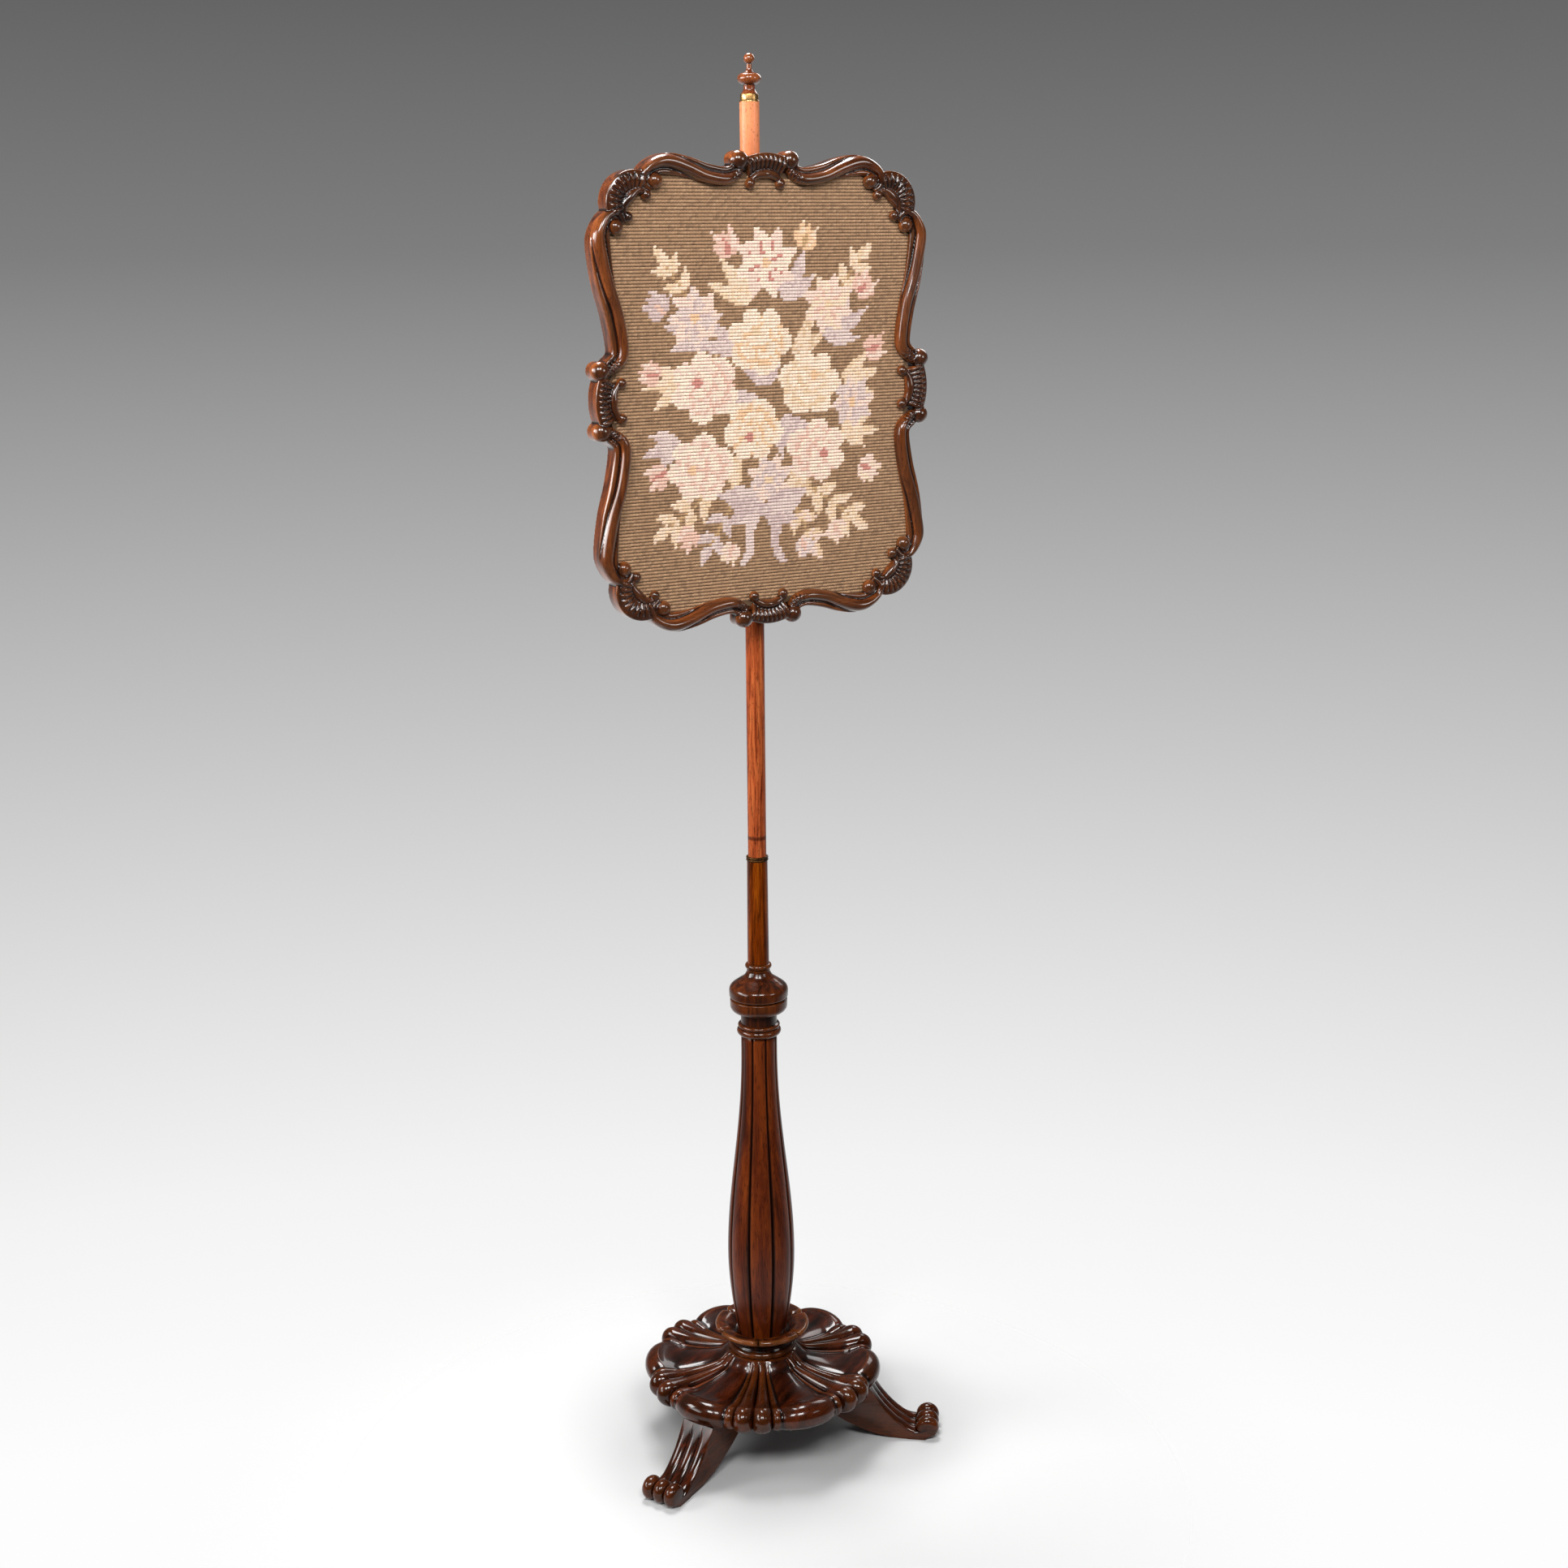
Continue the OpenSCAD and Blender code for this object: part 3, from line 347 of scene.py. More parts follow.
def petal_section(a):
    """Section of the petal collar in the direction a, as platform_section: a dish with a rolled lip."""
    slit = 1 - min(1, abs(math.sin(math.radians(3 * a))) / 0.3) ** 0.5
    lip, top = petal_radius - petal_slit * slit, petal_height - petal_sink * slit
    dish, rise = lip - column_foot, top - petal_floor
    inside = spline([
        [column_foot + 1.5, petal_floor], [column_foot + dish * 0.16, petal_floor + rise * 0.1],
        [column_foot + dish * 0.34, petal_floor + rise * 0.55], [column_foot + dish * 0.52, top - 1],
        [lip - 5.5, top - 0.1]], 6)
    under = spline([[lip - 1, top - 5.2], [(collar_neck + lip) / 2, petal_floor], [collar_neck, 0]], 7)
    roll = arc(lip - lip_round, top - lip_round, lip_round, 90, -45, 12)
    return np.vstack([[tenon_hole, 0], [tenon_hole, petal_floor], inside, roll, under]) + [0, petal_seat]


angles = np.arange(0, 360, 1.0)
mesh = plain_mesh("petal_collar", round_the_pole([petal_section(a) for a in angles], angles + tripod_turn))
petal_wood = polished_wood("rosewood_petals", ("#160702", "#361407", "#5A260C", "#8E501F"), worn=0.55)
show("petal_collar_carved", mesh, petal_wood, "stand", "rosewood_base", "petal_collar", wear=(0.003, 3))

# Column
# A turned rosewood baluster with eight flat reeds worked up it, parted by narrow grooves that are darkened
# with painted shade. A tenon at each end holds it in the platform and in the capital.

column_length, column_belly, belly_height, column_top = 345.0, 36.0, 94.0, 19.0
foot_tenon, top_tenon, top_tenon_length = 14.0, 9.0, 16.0
column_groove, reed_crown, column_turn, column_neck = 0.1, 0.02, 15, 13
reeds, reed_points = 8, 24
reed_half = 180 / reeds
capital_seat = column_seat + column_length


def column_radius(h):
    """Radius of the column at a height above its foot; its last five millimetres are rounded in."""
    if h < belly_height:
        drop = 1 - math.cos(math.pi / 2 * (1 - h / belly_height))
        return column_belly - (column_belly - column_foot) * drop
    fall = max(0, (column_length - column_neck - h) / (column_length - column_neck - belly_height)) ** 1.1
    radius = column_top + (column_belly - column_top) * (1 - math.cos(math.pi * fall)) / 2
    return radius - 1.6 * max(0, (h - column_length + 5) / 5) ** 2


def column_ring(radius, height, groove=reed_crown):
    """Ring of the column: reeds nearly flat across, rounded at their edges, with narrow grooves between."""
    q = np.tile(np.linspace(-1, 1, reed_points + 1)[:-1], reeds)
    a = np.radians(np.repeat(np.arange(reeds) * 2 * reed_half, reed_points) + reed_half * q + column_turn)
    edge = np.clip((abs(q) - 0.74) / 0.26, 0, 1)
    r = radius * (1 - reed_crown * q ** 2 - (groove - reed_crown) * edge ** 1.8)
    return np.c_[r * np.cos(a), r * np.sin(a), np.full(len(a), height)]


rings = [column_ring(foot_tenon, z) for z in (leg_height + 1, column_seat)]
rings += [column_ring(column_radius(h), column_seat + h, column_groove)
          for h in np.linspace(0, column_length, 140)]
rings += [column_ring(top_tenon, z) for z in (capital_seat, capital_seat + top_tenon_length)]
mesh = plain_mesh("column", loft(rings))
place = read(mesh, "co")
bearing = np.degrees(np.arctan2(place[:, 1], place[:, 0])) - column_turn
across = abs((bearing + reed_half) % (2 * reed_half) - reed_half) / reed_half
# Painted shade: the grooves between the reeds, and the reeds' edges next to them, are darkened.
mark(mesh, "painted_shade", 0.9 * np.clip((across - 0.8) / 0.1, 0, 1))
column_wood = polished_wood("rosewood_column", ("#2C0D03", "#4E1C07", "#6E300C", "#8A4418"),
                            streak=(0.16, 0.016), worn=0.2, hollow_shade=0.95, dull=0.36, gloss=0.25)
show("column_reeded", mesh, column_wood, "stand", "rosewood_turned", "column", wear=(0.005, 3))

# Capital and knop
# Two turned blocks on the column's head: a double bead, a plain neck and a cup, then a bun that shuts on the
# cup with a deep groove, and a small bead where the lower pole goes in.

capital_height, capital_bead, capital_neck, cup_height = 41.0, 23.4, 19.1, 15.5
knop_radius, knop_height, knop_bead, knop_groove = 31.0, 38.0, 14.0, 4.0
knop_spigot, knop_spigot_length = 8.0, 14.0
sleeve_tenon, sleeve_tenon_length = 7.0, 22.0
glue_gap = 0.1
knop_seat = capital_seat + capital_height
sleeve_seat = knop_seat + knop_height
bead, fillet, top = 4.2, 2.1, capital_height
neck_foot, cup_round = 2 * (bead + fillet), cup_height * 0.48
hole, hole_top = top_tenon + 2 * glue_gap, top_tenon_length + glue_gap
spigot_hole, spigot_floor = knop_spigot + glue_gap, top - knop_spigot_length
capital = np.vstack([
    [hole, 0], arc(capital_bead - bead, bead, bead, -80, 70, 14),
    arc(capital_bead - fillet - 1.2, neck_foot - fillet, fillet, -60, 80, 10),
    [capital_neck, neck_foot + 0.6], [capital_neck, top - cup_height],
    arc(knop_radius - 0.8 - cup_round, top - cup_height + cup_round, cup_round, -90, 0, 16),
    arc(knop_radius - 1.8, top - 1.8, 1, 0, 60, 5), [knop_radius - knop_groove, top], [spigot_hole, top],
    [spigot_hole, spigot_floor], [0, spigot_floor], [0, hole_top], [hole, hole_top]])
show_turned("capital_turned", "capital", capital, capital_seat, turned_wood, "stand", "rosewood_turned",
            wear=(0.003, 2))

neck, bead, top = knop_bead - 1.8, 3.0, knop_height
hole, hole_floor = sleeve_tenon + glue_gap, top - sleeve_tenon_length - glue_gap
shoulder = [[knop_radius, 3.6], [knop_radius, top * 0.25], [knop_radius * 0.93, top * 0.36],
            [knop_radius * 0.72, top * 0.49], [knop_radius * 0.5, top * 0.62], [neck, top * 0.76]]
knop = np.vstack([
    [0, -knop_spigot_length], [knop_spigot, -knop_spigot_length], [knop_spigot, 0],
    [knop_radius - knop_groove, 0], [knop_radius - knop_groove, 1], arc(knop_radius - 2, 3, 2, -80, 0, 8),
    spline(shoulder, 7), [neck, top - 2 * bead], arc(knop_bead - bead, top - bead, bead, -75, 80, 14),
    [knop_bead - bead, top], [hole, top], [hole, hole_floor], [0, hole_floor]])
show_turned("knop_turned", "knop", knop, knop_seat, turned_wood, "stand", "rosewood_turned",
            wear=(0.003, 2))

# Lower pole
# A dark turned length glued into the knop, bored from above as the socket in which the upper pole turns. A
# thin double-beaded brass ring keeps its mouth from splitting.

sleeve_length, sleeve_radius, sleeve_mouth = 112.0, 11.3, 10.7
ring_height, spigot_radius, spigot_length = 5.0, 6.5, 75.0
ring_seat = sleeve_seat + sleeve_length
pole_seat = ring_seat + ring_height
socket, socket_floor = spigot_radius + 0.1, sleeve_length + ring_height - spigot_length - 1
sleeve = [[0, -sleeve_tenon_length], [sleeve_tenon, -sleeve_tenon_length], [sleeve_tenon, 0],
          [sleeve_radius - 0.3, 0], [sleeve_radius, 0.4],
          [(sleeve_radius + sleeve_mouth) / 2, sleeve_length / 2], [sleeve_mouth, sleeve_length - 0.4],
          [sleeve_mouth - 0.4, sleeve_length], [socket, sleeve_length], [socket, socket_floor],
          [0, socket_floor]]
sleeve_wood = polished_wood("rosewood_sleeve", ("#351300", "#642700", "#8C4404", "#965010"),
                            streak=(0.1, 0.006), gloss=0.25)
show_turned("lower_pole", "sleeve", sleeve, sleeve_seat, sleeve_wood, "stand", "rosewood_turned", sharp=30)


def aged_metal(name, tones, rough):
    """Cast metal gone a little dull. tones are its stains, body and bright places.
    It gives soft patches of colour about 4 mm across, a gloss that is duller in the stains, and scratches of
    0.7 mm, coarser than real ones so that they show."""
    material, node, place = blank(name)
    stain = node("TexNoise", {"Vector": place, "Scale": 240.0, "Detail": 4.0})
    scratch = node("TexNoise", {"Vector": place, "Scale": 1400.0, "Detail": 2.0})
    colour = node("ValToRGB", [stain], stops=zip((0.35, 0.6, 0.8), tones))
    dull = node("MapRange", [stain, 0.3, 0.7, rough + 0.15, rough - 0.06])
    relief = node("Bump", {"Height": scratch, "Strength": 0.1, "Distance": 0.0002})
    shader = node("BsdfPrincipled", {"Base Color": colour, "Metallic": 1.0, "Roughness": dull,
                                     "Normal": relief})
    node("OutputMaterial", [shader])
    return material


brass = aged_metal("aged_brass", ("#7E5C34", "#B99460", "#D2B382"), 0.3)
dark_brass = aged_metal("tarnished_brass", ("#2E1C0E", "#5E4022", "#8A6838"), 0.42)
bead, rim = ring_height / 4, sleeve_mouth - 0.4
collar = np.vstack([[socket, 0], arc(rim, bead, bead, -80, 70, 10),
                    arc(rim, ring_height - bead, bead, -70, 80, 10), [socket, ring_height]])
show_turned("sleeve_ring_beaded", "sleeve_ring", collar, ring_seat, dark_brass, "stand", "brass")

# Upper pole
# A straight pole of a paler, redder wood that turns in the socket below. It shows short dark flecks, a dark
# ring worn in just above the socket, and a bleached end above the screen.

pole_length, pole_radius, pole_lift = 746.5, 9.5, 0.02
ferrule_height, finial_height, finial_radius = 7.5, 37.0, 11.4
nose_radius, nose_drop, plug_radius, plug_length, plug_gap = 6, 2, 3, 16, 0.05
bleach_start, bleach_full, ring_mark_height = 95.5, 20.5, 20
ferrule_seat = pole_seat + pole_length
finial_seat = ferrule_seat + ferrule_height
pole_wood = polished_wood("polished_pole_wood", ("#68260E", "#984622", "#B66232", "#C47040"),
                          streak=(0.08, 0.004), dull=0.36, gloss=0.2)
tree = pole_wood.node_tree
node = partial(add, tree)
shader = next(n for n in tree.nodes if n.type == "BSDF_PRINCIPLED")
colour = shader.inputs["Base Color"].links[0].from_socket
place = node("TexCoord").outputs["Object"]
height = node("SeparateXYZ", [place]).outputs["Z"]
bleach = [0.001 * (ferrule_seat - below) for below in (bleach_start, bleach_full)]
bleached = node("MapRange", [height, *bleach, 0.0, 0.85])
pale = node("Mix", {0: bleached, 6: colour, 7: "#E28E62"}, data_type="RGBA")
off_ring = node("Math", [height, 0.001 * (pole_seat + ring_mark_height)], operation="SUBTRACT")
near_ring = node("Math", [off_ring], operation="ABSOLUTE")
ring_mark = node("MapRange", [near_ring, 0.001, 0.003, 0.75, 0.0])
marked = node("Mix", {0: ring_mark, 6: pale, 7: "#2A0F08"}, data_type="RGBA")
flecks = node("Mapping", {"Vector": place, "Scale": (0.0016, 0.0016, 0.004)}, vector_type="TEXTURE")
fleck = node("TexNoise", {"Vector": flecks, "Scale": 1.0, "Detail": 2.0})
dark = node("MapRange", [fleck, 0.3, 0.4, 0.55, 1.0])
flecked = node("Mix", {0: 1.0, 6: marked, 7: dark}, data_type="RGBA", blend_type="MULTIPLY")
tree.links.new(flecked.outputs[2], shader.inputs["Base Color"])
nose, plug_hole = pole_length + ferrule_height - nose_drop, plug_radius + plug_gap
plug_floor = pole_length + ferrule_height - plug_length - 2 * plug_gap
pole = [[0, -spigot_length], [spigot_radius, -spigot_length], [spigot_radius, pole_lift],
        [pole_radius, pole_lift], [pole_radius, pole_length], [nose_radius, pole_length], [nose_radius, nose],
        [plug_hole, nose], [plug_hole, plug_floor], [0, plug_floor]]
show_turned("upper_pole", "pole", pole, pole_seat, pole_wood, "pole", "pole_wood", sharp=30)

# Ferrule and finial
# A short brass ferrule caps the pole, and a turned finial with a bun and a ball is plugged into its end.

ferrule_hole = nose_radius + plug_gap
ferrule = [[ferrule_hole, 0], [pole_radius, 0], [pole_radius + 0.1, 0.7], [pole_radius - 0.2, 1.4],
           [pole_radius - 0.6, 1.8], [pole_radius - 0.6, ferrule_height - 1.2],
           [pole_radius - 0.9, ferrule_height - 0.3], [pole_radius - 1.4, ferrule_height],
           [ferrule_hole, ferrule_height]]
show_turned("ferrule_turned", "ferrule", ferrule, ferrule_seat, brass, "pole", "brass", sharp=40)
ball, bun, waist = finial_height * 0.14, finial_height * 0.15, finial_radius * 0.5
bun_centre, ball_centre = finial_height * 0.37, finial_height - ball
a = np.radians(np.linspace(-75, 75, 28))
finial = np.vstack([
    [0, -plug_length], [plug_radius, -plug_length], [plug_radius, 0],
    spline([[pole_radius - 1.4, 0], [waist, 3.5], [waist, bun_centre - bun]], 8),
    np.c_[finial_radius * (0.4 + 0.6 * np.cos(a)), bun_centre + bun * np.sin(a)],
    spline([[waist, bun_centre + bun], [finial_radius * 0.26, bun_centre + bun + 2.2],
            [finial_radius * 0.22, ball_centre - ball]], 6), arc(0, ball_centre, ball, -62, 90, 24)])
finial_wood = polished_wood("polished_finial_wood", ("#50200C", "#6E3014", "#84421E", "#A05C2C"),
                            streak=(0.05, 0.006), dull=0.3, gloss=0.9)
show_turned("finial_turned", "finial", finial, finial_seat, finial_wood, "pole", "rosewood_turned",
            wear=(0.003, 2), sides=64)

# Frame
# Four carved rosewood members, mitred at the corners: rails that sweep from a scroll at their middle to a
# curl by the corner, gadrooned fans, and small C scrolls that end in round eyes over the needlework.

frame_sides = {"frame_top": 0, "frame_right": 90, "frame_bottom": 180, "frame_left": 270}
frame_tones = ("#2C1006", "#622C0E", "#8E491C", "#B06C38")
half_width, half_height, frame_depth, frame_back = 187.0, 227.0, 22.0, 14.0
screen_rise, large_eye, mid_ball, nick_depth = 474, 7.4, 9.4, 2.6
screen_centre = pole_seat + screen_rise
rail_side, rail_width, rail_crown, rail_dip, stile_dip = 13.0, 20.0, 12.5, 23.0, 29.0
roll_share, rail_bead, rail_root = 0.66, 4.2, 17
eye_inset, small_eye_inset, fan_inset, fan_radius = (69.0, 27.5), (60.0, 40.5), 47.0, 29.5
fan_top, fan_bend, rib_steps, eye_sides = 21.0, 0.62, 14, 28
mid_scroll, mid_eye, canvas_front, rebate_gap = (28.0, 10.0), (16.5, 30.0), 12.0, 0.15
small_eye, small_eye_top = 5.2, frame_depth * 0.88
carving_grit, mitre_depth, past, wedge_front, shade_reach, shade_fade = 0.0007, 70, 3, 40, 36, 12


def marks(length):
    """Where the large eye, the small eye and the fan of a corner sit on a member that is drawn along X."""
    insets = (eye_inset, small_eye_inset, (fan_inset, fan_inset))
    return [(length - along, -inward) for along, inward in insets]


def rail_sweep(length, dip, t):
    """Centre of a rail between its dip by the middle and its crown by the corner, t from 0 to 1."""
    start, end = mid_scroll[0] + 16, length - eye_inset[0] - 16
    return np.c_[start + (end - start) * t, -dip + (dip - rail_crown) * (1 - np.cos(np.pi * t)) / 2]


def rail_line(length, dip):
    """Half a rail as along, outward, width and share of the height: scroll, sweep and the curl at an eye."""
    t = np.linspace(0, 1, 4)
    u, v = marks(length)[0]
    sweep = np.c_[rail_sweep(length, dip, t), rail_root + (rail_width - rail_root) * t, np.ones(4)]
    root = [[mid_scroll[0], -mid_scroll[1] - 1, 12, 0.86], [mid_scroll[0] + 4, -mid_scroll[1] - 9, 15, 0.9]]
    curl = [[u - 2, v + 13, 17, 1], [u + 9, v + 6.5, 13, 0.95], [u + 10.5, v - 2, 10, 0.88],
            [u + 4, v - 8, 7, 0.8]]
    return spline(np.vstack([root, sweep, curl]), 9)


def carved_sweep(line, swing=0, share=1, nicks=0):
    """Shell along a line: upright sides, and a roll of a share of the width that swings from the inner edge
    to the outer one over a lower bead, with a crease between them and leaf nicks cut across the root."""
    run = np.gradient(line[:, :2], axis=0)
    side = np.c_[-run[:, 1], run[:, 0]] / np.linalg.norm(run, axis=1)[:, None]
    q = np.cos(np.radians(np.linspace(0, 180, 61)))
    rings = []
    for i, (u, v, width, height) in enumerate(line):
        t = i / (len(line) - 1)
        turn = np.clip((t - 0.3) / 0.35, 0, 1)
        at = -swing * math.cos(math.pi * turn)
        roll = np.sqrt(np.clip(1 - ((q - at) / share) ** 2, 0, 1)) ** 0.9
        out = (frame_depth * height - rail_side) * roll
        for low, high in ((at + share, 1.0), (-1.0, at - share)):
            room = max((high - low) / 2, 0.001)
            bead = np.sqrt(np.clip(1 - ((q - (low + high) / 2) / room) ** 2, 0, 1))
            out = np.maximum(out, rail_bead * min(1, room / 0.3) * bead)
        cuts = np.abs(np.sin(np.pi * (t * 34 + q * 1.3))) ** 4
        near = np.clip((0.19 - t) / 0.05, 0, 1) * np.clip((0.8 - q) / 0.5, 0, 1)
        out -= nicks * cuts * near * np.clip(out, 0, 3) / 3
        across = np.r_[width / 2, q * width / 2, -width / 2]
        depth = np.r_[0, rail_side + out, 0]
        rings.append(np.c_[u + side[i, 0] * across, -depth, v + side[i, 1] * across])
    return loft(rings)


def eye(u, v, radius=small_eye, top=small_eye_top, stem=0.8):
    """Round eye of a scroll: a ball on a stem, a share of its radius thick, that reaches the frame's back."""
    ball = arc(0, top - radius, radius, 90, -10, 16)
    profile = np.r_[ball, [[radius * stem, top - 1.5 * radius], [radius * stem, 0], [0, 0]]] + [[0.01, 0]]
    ring = arc(0, 0, 1, 0, 360, eye_sides + 1)[:-1]
    return loft([np.c_[u + r * ring[:, 0], np.full(eye_sides, -d), v + r * ring[:, 1]] for r, d in profile])


def fan(u, v, inner, outer, facing, spread, ribs):
    """Fan of gadroons about a centre: slim round ribs with deep creases, inside a smooth outer edge."""
    rings, steps = [], ribs * rib_steps
    share = np.linspace(0, 1, 19)
    rise = -7 * (1 - np.sin(np.pi / 2 * np.minimum(1, share / fan_bend)))
    swelling = np.where(share < fan_bend, rise, -13 * np.maximum(0, share - fan_bend) ** 1.5)
    cut = np.sin(np.pi * np.clip((share - 0.04) / 0.84, 0, 1)) ** 0.6
    for i in range(steps + 1):
        a = math.radians(facing - spread + 2 * spread * i / steps)
        crease = 1 - math.sqrt(max(0.0, 1 - (2 * (i / rib_steps % 1) - 1) ** 2))
        depth = fan_top + swelling - 4.6 * crease * cut
        r = np.r_[inner, inner + (outer - inner) * share, outer]
        rings.append(np.c_[u + r * math.cos(a), -np.r_[0, depth, 0], v + r * math.sin(a)])
    return loft(rings)


def half_member(length, dip, with_corner):
    """Shells of half a member, drawn along X with its outer edge at z = 0 and its back at y = 0."""
    (u, v), (s, w), (x, z) = marks(length)
    shells = [carved_sweep(rail_line(length, dip), 1 - roll_share, roll_share, nick_depth),
              eye(u, v, large_eye, frame_depth), eye(s, w),
              eye(mid_scroll[0], 1.4 - mid_scroll[1], mid_ball, frame_depth, 0.96),
              eye(mid_eye[0], -mid_eye[1])]
    if with_corner:
        shells.append(fan(x, z, inner=7, outer=fan_radius, facing=45, spread=74, ribs=10))
        band = [[s, w + 3, 5, 0.8], [x - 4, z + 11, 8, 0.86], [x + 4.5, z + 4.5, 10, 0.92],
                [x + 11, z - 4, 8, 0.86], [length + w + 3, s - length, 5, 0.8]]
        shells.append(carved_sweep(spline(band, 9)))
    return shells


def on_side(shell, turn, mirror=1):
    """Moves a shell that is drawn along X, or its mirror image, onto one of the frame's four sides."""
    x, y, z = (np.asarray(shell[0]) * [mirror, 1, 1]).T
    z = z + (half_height if turn % 180 == 0 else half_width)
    c, s = math.cos(math.radians(turn)), math.sin(math.radians(turn))
    return np.c_[x * c + z * s, y - frame_back, z * c - x * s + screen_centre], shell[1]


def prism(outline, low, high):
    """Shell of a flat outline of along and outward points, between two depths before the frame's back."""
    u, v = np.asarray(outline, float).T
    return loft([np.c_[u, np.full(len(u), -d), v] for d in (low, high)])


def in_frame(shell):
    """Moves a shell that is drawn about the screen's centre to its place."""
    return shell[0] + [0, -frame_back, screen_centre], shell[1]


def panel_outline(grow):
    """Outline of the needlework panel about the screen's centre, which the rails' rebates hold."""
    def edge(length, dip):
        (u, v), (s, w), (x, z) = marks(length)
        return np.vstack([[0, -mid_eye[1] + 11], [mid_scroll[0] - 8, -mid_eye[1] + 10],
                          rail_sweep(length, dip, np.linspace(0, 1, 25)), [u + 3, v + 8.5], [s + 4, w + 9],
                          [x + 7, z + 7]])
    top, side = edge(half_width, rail_dip), edge(half_height, stile_dip)
    quarter = np.vstack([np.c_[top[:, 0], half_height + top[:, 1] + grow],
                         np.c_[half_width + side[:, 1] + grow, side[:, 0]][-2::-1]])
    right = np.vstack([quarter, (quarter * [1, -1])[-2::-1]])
    return np.vstack([right, (right * [-1, 1])[-2:0:-1]])


def evaluated(piece):
    """Plain mesh of a piece with its modifiers applied; the piece itself is taken away."""
    bpy.context.view_layer.update()
    mesh = bpy.data.meshes.new_from_object(piece.evaluated_get(bpy.context.evaluated_depsgraph_get()))
    bpy.data.objects.remove(piece)
    return mesh


def shaped_by(piece, shell, operation):
    """Plain mesh of a piece after a shell is cut from it, or after all outside the shell is."""
    tool = put("tool", plain_mesh("tool", shell))
    cut = piece.modifiers.new("cut", "BOOLEAN")
    cut.operation, cut.solver, cut.object = operation, "MANIFOLD", tool
    mesh = evaluated(piece)
    bpy.data.objects.remove(tool)
    return mesh


carving = []
for turn in frame_sides.values():
    level = turn % 180 == 0
    length, dip = (half_width, rail_dip) if level else (half_height, stile_dip)
    half = half_member(length, dip, level)
    carving += [on_side(shell, turn, mirror) for mirror in (1, -1) for shell in half]
    u, v = mid_eye
    band = [[-u, 3 - v, 5, 0.8], [-u / 2, 8 - v, 8, 0.86], [0, 9 - v, 9, 0.92], [u / 2, 8 - v, 8, 0.86],
            [u, 3 - v, 5, 0.8]]
    middle = (fan(0, -2 * v, inner=1.35 * v, outer=2 * v - 1.6, facing=90, spread=25, ribs=9),
              carved_sweep(spline(band, 9)))
    carving += [on_side(shell, turn) for shell in middle]
block = put("carving", plain_mesh("carving", *carving))
fuse = block.modifiers.new("fuse", "REMESH")
fuse.mode, fuse.voxel_size = "VOXEL", carving_grit
ease = block.modifiers.new("ease", "SMOOTH")
ease.factor, ease.iterations = 0.5, 2
rebate = in_frame(prism(panel_outline(rebate_gap), -past, canvas_front + rebate_gap))
carved = shaped_by(block, rebate, "DIFFERENCE")
mark_wear(carved, 0.004, 3)
# Painted shade: faces turned to the front are darkened, the more so close to the corner and middle ornaments,
# so that the side faces stay lighter.
x, z = abs(read(carved, "co")[:, [0, 2]] * 1000 - [0, screen_centre]).T
corner = np.hypot(x - half_width + fan_inset - 6, z - half_height + fan_inset - 6)
middle = np.minimum(np.hypot(x * 0.8, z - half_height + 14), np.hypot(x - half_width + 14, z * 0.8))
fans = np.clip((shade_reach - np.minimum(corner, middle)) / shade_fade, 0, 1)
front = np.clip((-read(carved, "normal")[:, 1] - 0.25) / 0.5, 0, 1)
mark(carved, "painted_shade", front * (0.48 + 0.24 * fans))
for name, turn in frame_sides.items():
    level = turn % 180 == 0
    end = half_width if level else half_height
    wedge = prism([[-end - past, past], [end + past, past], [end - mitre_depth, -mitre_depth],
                   [mitre_depth - end, -mitre_depth]], -past, wedge_front)
    mesh = shaped_by(put("member", carved.copy()), on_side(wedge, turn), "INTERSECT")
    wood = polished_wood("rosewood_" + name, frame_tones, (0, 0, 0) if level else upright, worn=0.3, dull=0.3,
                         gloss=0.95)
    show(name + "_carved", mesh, wood, "screen", "rosewood_frame", name, sharp=70)

# Needlework
# Wool tent stitch on an open canvas, stretched over the strainer and held in the frame's rebate: an
# olive-brown ground in level rows round an oval bouquet of faded flowers tied with a ribbon.

stitch_pitch, canvas_back, canvas_thickness, bare_edge, thread = 3.175, 10.0, 1.0, 4, 0.0008
stitch_length, stitch_slant, stitch_sway, half_columns, half_rows = 0.0060, -0.16, 0.12, 55, 68
stalk_half, wool_fibre = 1.7, 0.0009
outline = panel_outline(0)
canvas_mesh = plain_mesh("canvas", in_frame(prism(outline, canvas_back, canvas_back + canvas_thickness)))

# Woven linen gives a dull brown net with small dark holes between its threads.
linen, node, place = blank("woven_linen_canvas")
weave = [node("TexWave", {"Vector": place, "Scale": 2 * math.pi / (20 * thread), "Distortion": 0.4},
              bands_direction=axis).outputs["Fac"] for axis in ("X", "Z")]
crossing = node("Math", weave, operation="MULTIPLY")
colour = node("ValToRGB", [crossing], stops=((0.0, "#4A3624"), (1.0, "#7E6044")))
relief = node("Bump", {"Height": crossing, "Strength": 0.4, "Distance": 0.0003})
shader = node("BsdfPrincipled", {"Base Color": colour, "Roughness": 0.9, "Normal": relief})
node("OutputMaterial", [shader])
canvas = show("canvas", canvas_mesh, linen, "screen", "needlework", "needlework")

columns, rows = np.meshgrid(np.arange(-half_columns, half_columns + 1), np.arange(-half_rows, half_rows + 1))
x, z = columns.ravel() * stitch_pitch, rows.ravel() * stitch_pitch
start, end = outline, np.roll(outline, -1, 0)
inside = np.zeros(len(x), bool)
gap = np.full(len(x), 1e9)
for (x0, z0), (x1, z1) in zip(start, end):
    if z0 != z1:
        inside ^= ((z0 > z) != (z1 > z)) & (x < (x1 - x0) * (z - z0) / (z1 - z0) + x0)
    span = (x1 - x0) ** 2 + (z1 - z0) ** 2
    t = np.clip(((x - x0) * (x1 - x0) + (z - z0) * (z1 - z0)) / max(span, 1e-9), 0, 1)
    gap = np.minimum(gap, np.hypot(x - x0 - t * (x1 - x0), z - z0 - t * (z1 - z0)))
kept = inside & (gap > bare_edge)
